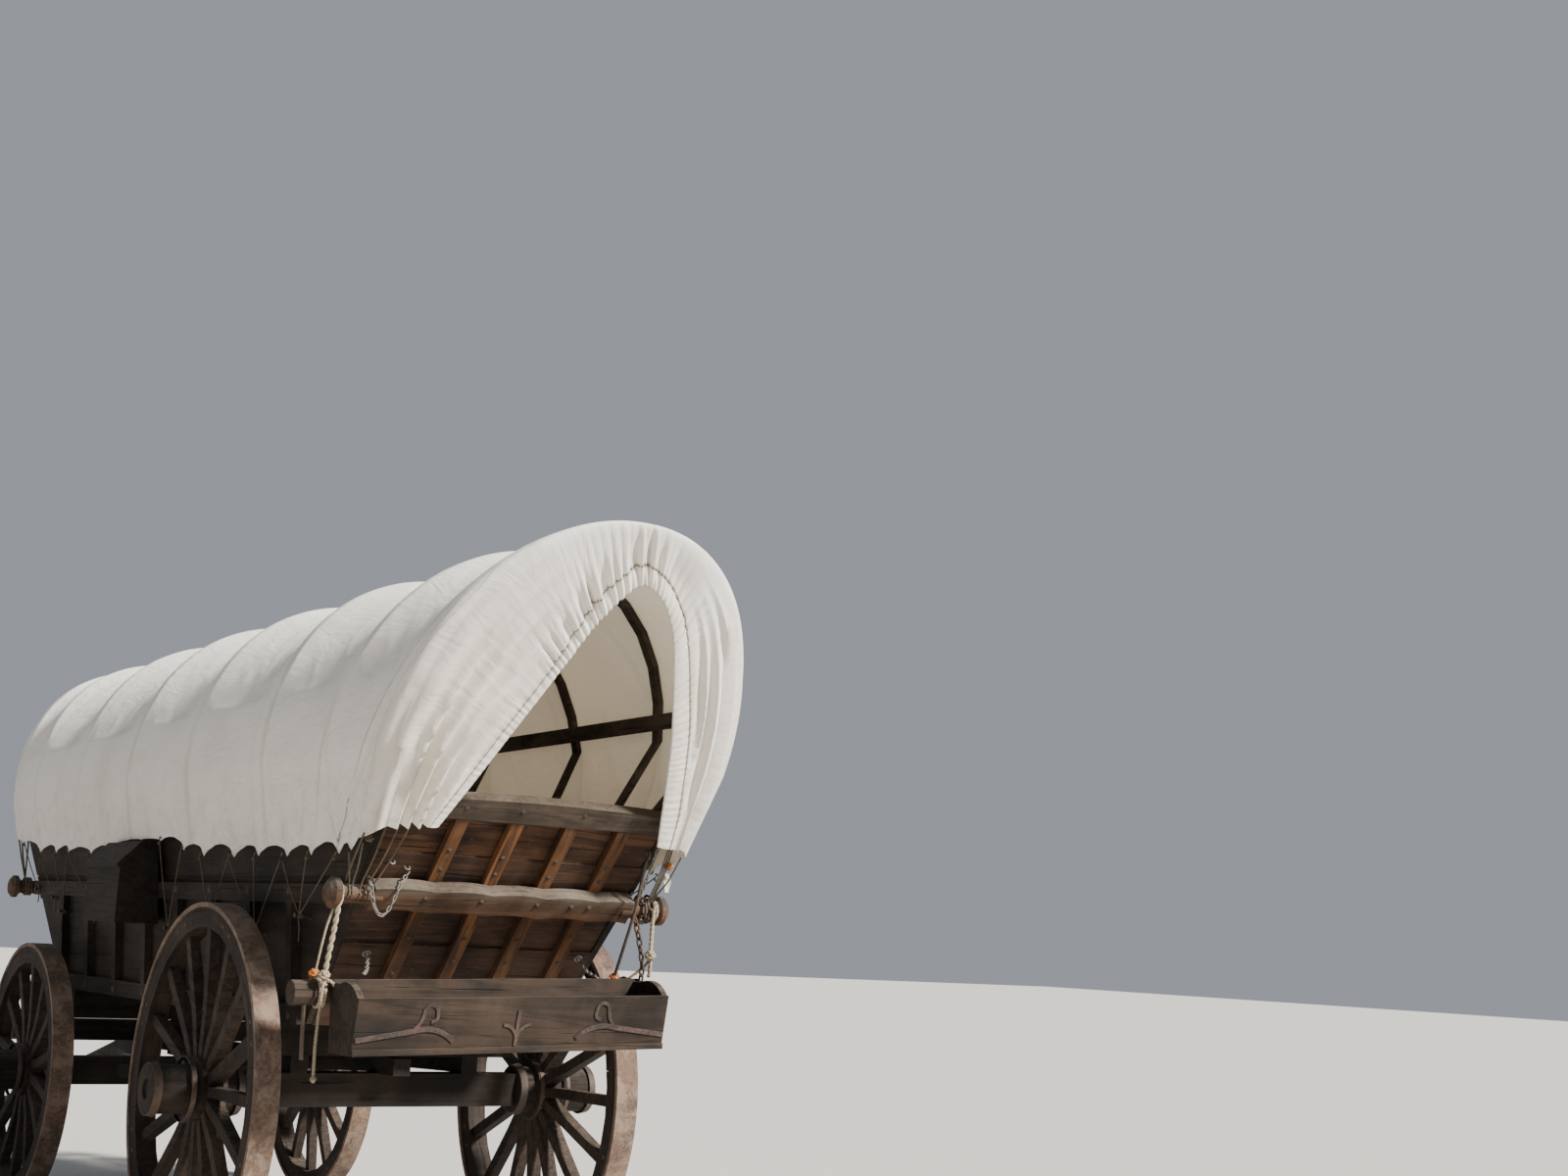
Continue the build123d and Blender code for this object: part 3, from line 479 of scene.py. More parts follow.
@dataclass(frozen=True)
class WheelTimber(Timber):
    """Wood of a wheel, whose grain follows the spokes, the rim or the hub."""

    centre: Triple = (0.0, 0.0, 0.0)
    pieces: float = 16.0
    turn: float = 0.0
    rim: bool = False

    def make(self) -> bpy.types.Material:
        """Builds the material round the wheel's centre.

        Returns:
            The finished wood.
        """
        graph = Graph(self.name)
        x, y, z = graph.parts(graph.place())
        east = x - self.centre[0]
        up = z - self.centre[2]
        radius = (east * east + up * up) ** 0.5
        angle = graph.signal("ShaderNodeMath", {"operation": "ARCTAN2"}, {0: up, 1: east})
        board = (angle * (self.pieces / (2 * math.pi)) + self.turn).floor()
        arc = angle * radius
        if self.rim:
            return self.finish(graph, arc, radius, y, board, self.palette)
        return self.finish(graph, radius, arc, y, board, self.palette)


@dataclass(frozen=True)
class Iron:
    """Forged or rolled iron, browned by rust."""

    name: str
    metal: Colour = (0.055, 0.045, 0.040)
    rust: Colour = (0.095, 0.052, 0.032)
    bright: Colour = (0.13, 0.11, 0.095)
    rusting: float = 0.6
    edge: float = 0.002
    mud: float = 0.0
    mud_colour: Colour = (0.25, 0.19, 0.14)

    def make(self) -> bpy.types.Material:
        """Builds the material.

        Returns:
            The finished iron.
        """
        graph = Graph(self.name)
        place = graph.place()
        broad = graph.noise(place, 7.0, 6.0, 0.65, 0.4)
        fine = graph.noise(place, 70.0, 5.0, 0.7)
        pits = graph.cells(place, 240.0)
        low, high = 0.62 - 0.35 * self.rusting, 0.72 - 0.2 * self.rusting
        eaten = (broad * 0.6 + fine * 0.4).ramp(low, high)
        warm = graph.mix(fine.ramp(0.3, 0.7), dimmed(self.rust, 0.55), self.rust)
        colour = graph.mix(eaten, self.metal, warm)
        worn = graph.edge_mask(self.edge)
        colour = graph.mix(worn * 0.5 * fine, colour, self.bright)
        if self.mud:
            cake = graph.noise(place, 11.0, 5.0, 0.7, 0.5).ramp(0.45, 0.62)
            colour = graph.mix(cake * self.mud, colour, self.mud_colour)
        rough = 0.55 + eaten * 0.3
        relief = graph.bump(fine * 0.6 + pits * 0.4, 0.0012, graph.rounded(self.edge))
        metallic = (1.0 - eaten) * 0.5
        return graph.surface(colour, rough, relief, Metallic=metallic)


@dataclass(frozen=True)
class Duck:
    """Cotton duck of the cover: woven, seamed, sun-bleached, stained, and letting some light through."""

    name: str
    seam: float
    clean: Colour = (0.88, 0.855, 0.80)
    shade: Colour = (0.74, 0.70, 0.63)
    stain: Colour = (0.47, 0.40, 0.30)
    glow: Colour = (0.80, 0.66, 0.46)
    through: float = 0.13
    seam_pitch: float = 0.76
    thread: Colour = (0.50, 0.44, 0.35)
    cord: Colour = (0.12, 0.09, 0.065)
    weave: float = 330.0

    def make(self) -> bpy.types.Material:
        """Builds the material over the sheet's own measure in metres.

        Returns:
            The finished canvas.
        """
        graph = Graph(self.name)
        measure = graph.node("ShaderNodeUVMap", {"uv_map": "measure"}, {}).outputs[0]
        rim = graph.node("ShaderNodeUVMap", {"uv_map": "rim"}, {}).outputs[0]
        length, girth, _ = graph.parts(measure)
        edge, hoop, _ = graph.parts(rim)
        place = graph.place()
        _, _, height = graph.parts(place)
        cloud = graph.noise(place, 1.7, 5.0, 0.6, 0.4)
        streak = graph.noise(graph.joined(length * 7.0, girth * 0.9, 0.0), 1.0, 5.0, 0.6, 0.3)
        dots = graph.noise(place, 14.0, 5.0, 0.7, 0.6)
        soiled = (cloud * 0.5 + streak * 0.35 + dots * 0.15).ramp(0.50, 0.80)
        colour = graph.mix(cloud.ramp(0.30, 0.72) * 0.45, self.clean, self.shade)
        colour = graph.mix(soiled * 0.40, colour, self.stain)
        colour = graph.mix(height.ramp(2.05, 1.60) * dots.ramp(0.42, 0.75) * 0.50, colour, self.stain)
        from_bow = abs((hoop + 0.5).fraction() - 0.5)
        # darker bands along each bow, fading out towards the crown
        bow_band = from_bow.ramp(0.045, 0.020) * streak.ramp(0.35, 0.65) * height.ramp(2.66, 2.30)
        colour = graph.mix(bow_band * 0.35, colour, self.stain)
        flap, stitches = self.sewing(graph, length, girth)
        # the seams' doubled cloth is painted darker: painted shade along each seam
        colour = graph.mix(flap * 0.18, colour, self.shade)
        colour = graph.mix(stitches * 0.6, colour, self.thread)
        from_cord = abs(edge - self.seam + (dots - 0.5) * 0.003)
        cord = 1.0 - from_cord.ramp(0.0022, 0.0055)
        grimed = 1.0 - from_cord.ramp(0.002, 0.020)
        colour = graph.mix(grimed * 0.30 * dots.ramp(0.3, 0.6), colour, self.stain)
        dashes = 0.25 + 0.75 * (girth * 62.0).fraction().above(0.32)
        colour = graph.mix(cord * dashes * 0.9, colour, self.cord)
        frayed = 1.0 - edge.ramp(0.002, 0.010)
        colour = graph.mix(frayed * dots.ramp(0.35, 0.65) * 0.45, colour, self.stain)
        cloth = self.woven(graph, length, girth)
        creases = graph.noise(graph.joined(length * 5.0, girth * 9.0, 0.3), 1.0, 4.0, 0.6, 1.2)
        crumple = graph.cells(graph.joined(length * 9.0 + cloud * 2.0, girth * 5.0, 0.0), 1.0)
        relief = graph.bump(creases * 0.7 + crumple * 0.3, 0.010)
        relief = graph.bump(flap + stitches * 0.5, 0.0012, relief)
        relief = graph.bump(1.0 - cord, 0.0025, relief)
        relief = graph.bump(cloth, 0.0006, relief)
        return self.lit_through(graph, colour, 0.82 + cloth * 0.12, relief)

    def sewing(self, graph: Graph, length: Signal, girth: Signal) -> tuple[Signal, Signal]:
        """The doubled cloth of the seams between two widths, and the stitches along it.

        Args:
            graph: The graph of the material.
            length: Distance along the cover.
            girth: Distance round the cover.

        Returns:
            The mask of the doubled cloth and the mask of the stitches.
        """
        from_seam = abs((length / self.seam_pitch).fraction() - 0.5) * self.seam_pitch
        flap = 1.0 - from_seam.ramp(0.011, 0.0125)
        stitch_line = 1.0 - abs(from_seam - 0.009).ramp(0.0006, 0.0016)
        return flap, stitch_line * (girth * 160.0).fraction().above(0.35)

    def woven(self, graph: Graph, length: Signal, girth: Signal) -> Signal:
        """Height of the threads, with a few thicker ones.

        Args:
            graph: The graph of the material.
            length: Distance along the cover.
            girth: Distance round the cover.

        Returns:
            The height, from 0 to 1.
        """
        warp = (length * self.weave * 2 * math.pi).sine() * 0.5 + 0.5
        weft = (girth * self.weave * 2 * math.pi).sine() * 0.5 + 0.5
        slub = graph.noise(graph.joined(length * 260.0, girth * 30.0, 0.0), 1.0, 2.0, 0.5)
        return warp * weft * 0.6 + slub * 0.4

    def lit_through(self, graph: Graph, colour: Any, rough: Any, relief: Any) -> bpy.types.Material:
        """Ends the graph in cloth that lets some light through.

        Args:
            graph: The graph of the material.
            colour: The base colour.
            rough: The roughness.
            relief: The normal.

        Returns:
            The finished canvas.
        """
        inputs = {"Base Color": colour, "Roughness": rough, "Normal": relief}
        inputs.update({"Specular IOR Level": 0.25, "Sheen Weight": 0.15})
        solid = graph.node("ShaderNodeBsdfPrincipled", {}, inputs).outputs[0]
        glow = {"Color": (*self.glow, 1.0), "Normal": relief}
        thin = graph.node("ShaderNodeBsdfTranslucent", {}, glow).outputs[0]
        both = graph.node("ShaderNodeMixShader", {}, {0: self.through, 1: solid, 2: thin})
        graph.node("ShaderNodeOutputMaterial", {}, {"Surface": both.outputs[0]})
        return graph.material


@dataclass(frozen=True)
class Hemp:
    """Twisted rope, greyed and fibrous."""

    name: str
    light: Colour = (0.46, 0.38, 0.27)
    dark: Colour = (0.20, 0.155, 0.105)

    def make(self) -> bpy.types.Material:
        """Builds the material.

        Returns:
            The finished rope.
        """
        graph = Graph(self.name)
        place = graph.place()
        fibre = graph.noise(place, 260.0, 4.0, 0.7, 0.8)
        broad = graph.noise(place, 9.0, 4.0, 0.6)
        colour = graph.mix(fibre.ramp(0.3, 0.7), self.dark, self.light)
        colour = graph.mix(broad.ramp(0.45, 0.75) * 0.5, colour, self.dark)
        relief = graph.bump(fibre, 0.0008)
        return graph.surface(colour, 0.9, relief, Specular_IOR_Level=0.2)


@dataclass(frozen=True)
class Ground:
    """Plain pale floor."""

    name: str = "pale_floor"
    colour: Colour = (0.58, 0.56, 0.53)

    def make(self) -> bpy.types.Material:
        """Builds the material.

        Returns:
            The finished floor.
        """
        graph = Graph(self.name)
        mottle = graph.noise(graph.place(), 2.0, 3.0, 0.5)
        return graph.surface(graph.mix(mottle, self.colour, dimmed(self.colour, 0.96)), 0.9)


# Mesh helpers


def add_object(
    name: str, mesh: bpy.types.Mesh, body: str, finish: bpy.types.Material
) -> bpy.types.Object:
    """Puts a finished mesh in the scene as a piece that rides on a body.

    Args:
        name: The piece's name.
        mesh: Its mesh, in the model's frame.
        body: The body that it rides on.
        finish: Its material.

    Returns:
        The new object.
    """
    piece = bpy.data.objects.new(name, mesh)
    bpy.context.scene.collection.objects.link(piece)
    mesh.materials.clear()
    mesh.materials.append(finish)
    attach(piece, body)
    log.info("%s rides on %s: %d faces", name, body, len(mesh.polygons))
    return piece


def run_length(points: Sequence[Vector]) -> float:
    """Length of a line of straight runs."""
    return sum((b - a).length for a, b in zip(points[:-1], points[1:]))


def between(low: float, high: float, share: float) -> float:
    """A value between two others."""
    return low + (high - low) * share


def limited(value: float) -> float:
    """A value kept between 0 and 1."""
    return max(0.0, min(1.0, value))


def along_line(points: Sequence[Vector], share: float) -> Vector:
    """A point on a line of straight runs.

    Args:
        points: The line's points.
        share: How far along it, from 0 to 1.

    Returns:
        The point.
    """
    runs = [(b - a).length for a, b in zip(points[:-1], points[1:])]
    left = share * sum(runs)
    for start, end, run in zip(points[:-1], points[1:], runs):
        if left <= run or end is points[-1]:
            return start.lerp(end, min(1.0, left / max(run, 1e-9)))
        left -= run
    return points[-1].copy()


def eased(points: Sequence[Vector], steps: int = 8) -> list[Vector]:
    """A smooth line through the given points.

    Args:
        points: The points that it goes through.
        steps: How many runs there are between two of them.

    Returns:
        The points of the smooth line.
    """
    ends = [2 * points[0] - points[1], *points, 2 * points[-1] - points[-2]]
    line = []
    for a, b, c, d in zip(ends[:-3], ends[1:-2], ends[2:-1], ends[3:]):
        for step in range(steps):
            t = step / steps
            curve = 2 * b + (c - a) * t + (2 * a - 5 * b + 4 * c - d) * t * t + (3 * b - a - 3 * c + d) * t**3
            line.append(0.5 * curve)
    line.append(points[-1].copy())
    return line


def spots(*places: Triple) -> list[Vector]:
    """Points from their coordinates."""
    return [Vector(place) for place in places]


def axes(way: Vector) -> tuple[Vector, Vector, Vector]:
    """A direction at length one, and two more that stand square to it and to each other.

    Args:
        way: The direction.

    Returns:
        The three directions.
    """
    way = way.normalized()
    side = way.orthogonal().normalized()
    return way, side, way.cross(side)


def on_circle(centre: Vector, side: Vector, lift: Vector, radius: float, angle: float) -> Vector:
    """A point of a circle, by its centre, the two directions of its plane, its radius and an angle."""
    return centre + (side * math.cos(angle) + lift * math.sin(angle)) * radius


def joined_rows(rows: int, sides: int, closed: bool) -> list[tuple[int, ...]]:
    """Faces between rings of points that follow one another.

    Args:
        rows: How many rings there are.
        sides: How many points a ring has.
        closed: True to join the last ring to the first, and not to cap them.

    Returns:
        The faces.
    """
    faces = []
    for row in range(rows if closed else rows - 1):
        here, then = row * sides, (row + 1) % rows * sides
        for step in range(sides):
            aside = (step + 1) % sides
            faces.append((here + step, here + aside, then + aside, then + step))
    if not closed:
        faces.append(tuple(range(sides))[::-1])
        faces.append(tuple((rows - 1) * sides + step for step in range(sides)))
    return faces


@dataclass
class Shape:
    """A mesh that grows by tubes, turned forms, bands, ropes and chains, from the rear axle's place."""

    points: list[Vector] = field(default_factory=list)
    faces: list[tuple[int, ...]] = field(default_factory=list)
    soft: list[bool] = field(default_factory=list)
    # how a rope is laid: steps to one twist, and the strands' offset and radius as shares of its own
    twist_steps: int = 7
    strand_offset: float = 0.50
    strand_radius: float = 0.56
    link_steps: int = 14
    band_sides: int = 40

    def add(self, points: Iterable[Vector], faces: Iterable[Sequence[int]], soft: bool = True) -> None:
        """Adds points and faces.

        Args:
            points: The new points.
            faces: Faces by number within the new points.
            soft: True to shade them smooth.
        """
        first = len(self.points)
        self.points.extend(points)
        for face in faces:
            self.faces.append(tuple(first + index for index in face))
            self.soft.append(soft)

    def tube(
        self, line: Sequence[Vector], radius: float | Sequence[float], sides: int = 8, closed: bool = False
    ) -> None:
        """Adds a tube along a line.

        Args:
            line: The points of its middle.
            radius: Its radius, or one for each point.
            sides: How many sides it has.
            closed: True to join its end to its start.
        """
        count = len(line)
        radii = [radius] * count if isinstance(radius, float) else list(radius)
        ways = []
        for index in range(count):
            ahead = line[(index + 1) % count] if closed or index < count - 1 else line[index]
            behind = line[index - 1] if closed or index > 0 else line[index]
            ways.append((ahead - behind).normalized())
        side = ways[0].orthogonal().normalized()
        points = []
        for place, way, size in zip(line, ways, radii):
            side = (side - way * side.dot(way)).normalized()
            lift = way.cross(side)
            for step in range(sides):
                points.append(on_circle(place, side, lift, size, 2 * math.pi * step / sides))
        self.add(points, joined_rows(count, sides, closed))

    def turned(self, start: Vector, way: Vector, profile: Sequence[Pair], sides: int = 16) -> None:
        """Adds a form turned about an axis.

        Args:
            start: A point on the axis.
            way: The axis's direction.
            profile: Runs along the axis and radii.
            sides: How many sides it has.
        """
        way, side, lift = axes(way)
        points = [
            on_circle(start + way * run, side, lift, radius, 2 * math.pi * (step + 0.5) / sides)
            for run, radius in profile
            for step in range(sides)
        ]
        self.add(points, joined_rows(len(profile), sides, False))

    def band(self, centre: Vector, way: Vector, inner: Sequence[Pair], thick: float) -> None:
        """Adds an open band round a turned form, with its outer edges eased.

        Args:
            centre: A point on the axis.
            way: The axis's direction.
            inner: Runs along the axis and radii of the band's inside.
            thick: How thick the band is.
        """
        way, side, lift = axes(way)
        ease = thick * 0.3
        (first, first_radius), (last, last_radius) = inner
        loop = [
            (first, first_radius),
            (last, last_radius),
            (last, last_radius + thick - ease),
            (last - ease, last_radius + thick),
            (first + ease, first_radius + thick),
            (first, first_radius + thick - ease),
        ]
        sides = self.band_sides
        points = [
            on_circle(centre + way * run, side, lift, radius, 2 * math.pi * step / sides)
            for run, radius in loop
            for step in range(sides)
        ]
        self.add(points, joined_rows(len(loop), sides, True), False)

    def bolt(self, seat: Vector, out: Vector, radius: float = 0.011, proud: float = 0.006) -> None:
        """Adds a domed bolt head on a washer.

        Args:
            seat: Where it sits.
            out: The direction that it points in.
            radius: Its radius.
            proud: How far it stands out.
        """
        washer = [(-0.004, radius * 1.5), (0.001, radius * 1.5), (0.0016, radius * 1.42), (0.0018, radius)]
        dome = [(proud * 0.5, radius * 0.98), (proud * 0.85, radius * 0.7), (proud, radius * 0.25)]
        self.turned(seat, out, washer + dome, 10)

    def rope(self, corners: Sequence[Vector], radius: float, lay: float = 6.5, strands: int = 3) -> None:
        """Adds a twisted rope.

        Args:
            corners: Points that its smooth line goes through.
            radius: Its radius.
            lay: Length of one twist in radii.
            strands: How many strands it has.
        """
        line = eased(corners, 10) if len(corners) > 2 else list(corners)
        steps = max(4, round(run_length(line) / (radius * lay / self.twist_steps)))
        middle = [along_line(line, step / steps) for step in range(steps + 1)]
        side = (middle[1] - middle[0]).normalized().orthogonal().normalized()
        sides = []
        for index in range(steps + 1):
            way = (middle[min(index + 1, steps)] - middle[max(index - 1, 0)]).normalized()
            side = (side - way * side.dot(way)).normalized()
            sides.append((side.copy(), way.cross(side)))
        for strand in range(strands):
            wound = []
            for index, place in enumerate(middle):
                angle = 2 * math.pi * (index / self.twist_steps + strand / strands)
                wound.append(on_circle(place, *sides[index], radius * self.strand_offset, angle))
            self.tube(wound, radius * self.strand_radius, 5)

    def coil(
        self, centre: Vector, way: Vector, radius: float, thick: float, turns: float, spread: float
    ) -> None:
        """Adds a rope wound round something.

        Args:
            centre: Middle of the turns.
            way: Direction of what it is wound round.
            radius: Radius of the turns' middle.
            thick: Radius of the rope.
            turns: How many turns there are.
            spread: How far the turns reach along the way.
        """
        way, side, lift = axes(way)
        line = []
        steps = max(8, round(turns * 14))
        for step in range(steps + 1):
            angle = 2 * math.pi * turns * step / steps
            run = spread * (step / steps - 0.5) + 0.15 * thick * math.sin(5.3 * angle)
            line.append(on_circle(centre + way * run, side, lift, radius, angle))
        self.rope(line[::2] if len(line) > 30 else line, thick)

    def knot(self, centre: Vector, size: float, thick: float) -> None:
        """Adds a knot: a few tight crossing turns.

        Args:
            centre: Its middle.
            size: Its radius.
            thick: Radius of the rope.
        """
        tilts = spots((1, 0.3, 0.2), (0.2, 1, -0.4), (-0.3, 0.25, 1))
        for index, way in enumerate(tilts):
            self.coil(centre, way, size * (0.62 + 0.06 * index), thick, 1.15, thick * 1.2)

    def link(self, centre: Vector, way: Vector, aside: Vector, long: float, wide: float, wire: float) -> None:
        """Adds one oval link of a chain.

        Args:
            centre: Its middle.
            way: Its long direction.
            aside: Its short direction.
            long: Half its length to the wire's middle.
            wide: Half its width to the wire's middle.
            wire: The wire's radius.
        """
        line = []
        for step in range(self.link_steps):
            angle = 2 * math.pi * step / self.link_steps
            over = math.copysign(abs(math.cos(angle)) ** 0.75, math.cos(angle))
            line.append(centre + way * long * over + aside * wide * math.sin(angle))
        self.tube(line, wire, 6, True)

    def chain(self, corners: Sequence[Vector], pitch: float, wire: float) -> None:
        """Adds a chain of oval links, each turned a quarter from the last and a little askew.

        Args:
            corners: Points that its smooth line goes through.
            pitch: Distance from one link to the next.
            wire: Radius of the wire.
        """
        line = eased(corners, 10) if len(corners) > 2 else list(corners)
        count = max(2, round(run_length(line) / pitch))
        side = (line[1] - line[0]).normalized().orthogonal().normalized()
        for index in range(count):
            start = along_line(line, index / count)
            end = along_line(line, (index + 1) / count)
            way = (end - start).normalized()
            side = (side - way * side.dot(way)).normalized()
            angle = math.pi * (0.25 + 0.5 * (index % 2)) + 0.25 * math.sin(index * 2.3)
            turn = Matrix.Rotation(angle, 3, way)
            self.link((start + end) / 2, way, turn @ side, pitch * 0.5 + wire * 0.9, wire * 2.1, wire)

    def mesh(self, name: str, axle_x: float) -> bpy.types.Mesh:
        """The finished mesh in the model's frame.

        Args:
            name: The mesh's name.
            axle_x: Place of the rear axle.

        Returns:
            The mesh.
        """
        made = bpy.data.meshes.new(name)
        shift = Vector((axle_x, 0.0, 0.0))
        made.from_pydata([point + shift for point in self.points], [], self.faces)
        made.polygons.foreach_set("use_smooth", self.soft)
        return made


# Canvas


class End(Enum):
    """Which end of the wagon."""

    REAR = -1
    FRONT = 1


@dataclass
class ClothPoint:
    """One point of the sheet, with its place on the cloth and its distance from a mouth's edge."""

    place: Vector
    along: float
    girth: float
    edge: float
    hoop: float


@dataclass(frozen=True)
class Flap:
    """Long folds down one side of a mouth: their number and depths, and where they fade out and in."""

    count: float
    depth: float
    hem_depth: float
    grey_lit_top: float
    full: float


@dataclass(frozen=True)
class MouthFolds:
    """How the drawn cloth of a mouth puckers at its cord and hangs in long folds down both sides."""

    end: End
    seam: float
    crown_part: float = 0.46
    crown_spread: float = 0.15
    pucker_count: float = 86.0
    pucker_depth: float = 0.003
    crown_pucker_depth: float = 0.018
    pleat_count: float = 31.0
    pleat_depth: float = 0.046
    pleat_edge: float = 0.110
    pleat_spread: float = 0.075
    roll: float = 0.005
    groove: float = 0.004
    groove_half: float = 0.0022
    proud: float = 0.011
    deepest: float = 0.058
    left: Flap = Flap(count=5.6, depth=0.052, hem_depth=0.024, grey_lit_top=0.40, full=0.24)
    right: Flap = Flap(count=7.0, depth=0.036, hem_depth=0.0, grey_lit_top=0.59, full=0.81)
    # share of the girth over which the left flap's folds deepen towards the hem
    hem_from: float = 0.19
    hem_spread: float = 0.08

    def seed(self) -> float:
        """Offset that gives each end folds of its own."""
        return 3.0 * self.end.value

    def puckers(self, part: float, edge: float) -> float:
        """Short puckers at the cord, wider pleats beyond it, and the rolled strip up to it.

        Args:
            part: Share of the way round the mouth, from left to right.
            edge: Distance from the mouth's edge along the cloth.

        Returns:
            The distance outwards in metres.
        """
        jitter = noise.noise(Vector((part * 13.0, self.seed(), 0.3)))
        bite = 0.80 + 0.9 * noise.noise(Vector((part * 31.0, self.seed(), 5.1)))
        crown = math.exp(-(((part - self.crown_part) / self.crown_spread) ** 2))
        cusp = 1.0 - abs(math.sin(math.pi * (self.pucker_count * part + 1.6 * jitter)))
        fade = math.exp(-max(0.0, edge - self.seam) / (0.014 + 0.095 * crown))
        depth = self.pucker_depth + self.crown_pucker_depth * crown
        in_strip = edge < self.seam
        grip = 0.55 + 0.45 * min(1.0, edge / self.seam) if in_strip else 1.0
        lift = -bite * cusp * depth * fade * grip
        wide = abs(math.sin(math.pi * (self.pleat_count * part + 2.2 * jitter)))
        reach = math.exp(-(((edge - self.pleat_edge) / self.pleat_spread) ** 2))
        lift -= (1.0 - wide) ** 1.1 * self.pleat_depth * bite * crown * reach
        lift += self.roll * math.sin(math.pi * edge / self.seam) if in_strip else 0.0
        lift -= self.groove * math.exp(-(((edge - self.seam) / self.groove_half) ** 2))
        return lift

    def long_folds(self, part: float, edge: float, face: float) -> float:
        """Folds that hang down a flap, roughly in line with the mouth's edge.

        Args:
            part: Share of the way round the mouth, from left to right.
            edge: Distance from the mouth's edge along the cloth.
            face: Share of the way from the edge to the corner of the cover.

        Returns:
            The distance outwards in metres.
        """
        flap = self.left if part < 0.5 else self.right
        drift = noise.noise(Vector((part * 2.6, face * 0.8, self.seed() + 2.0)))
        fold = 1.0 - abs(math.sin(math.pi * (flap.count * face + 1.1 * drift + 0.2)))
        uneven = 0.80 + 0.9 * noise.noise(Vector((face * flap.count * 0.9, part * 1.3, self.seed() + 7.0)))
        past_cord = limited((edge - self.seam * 1.05) / 0.045)
        depth = flap.depth + flap.hem_depth * limited((self.hem_from - part) / self.hem_spread)
        side = limited((part - flap.grey_lit_top) / (flap.full - flap.grey_lit_top))
        return (fold**0.85 - 0.85) * depth * uneven * side * side * (3 - 2 * side) * past_cord

    def lift(self, part: float, edge: float, face: float) -> float:
        """How far the drawn cloth stands out of the mouth's plane, with its deepest folds cut short."""
        lift = self.puckers(part, edge) + self.long_folds(part, edge, face)
        return max(-self.deepest, min(self.proud, lift))


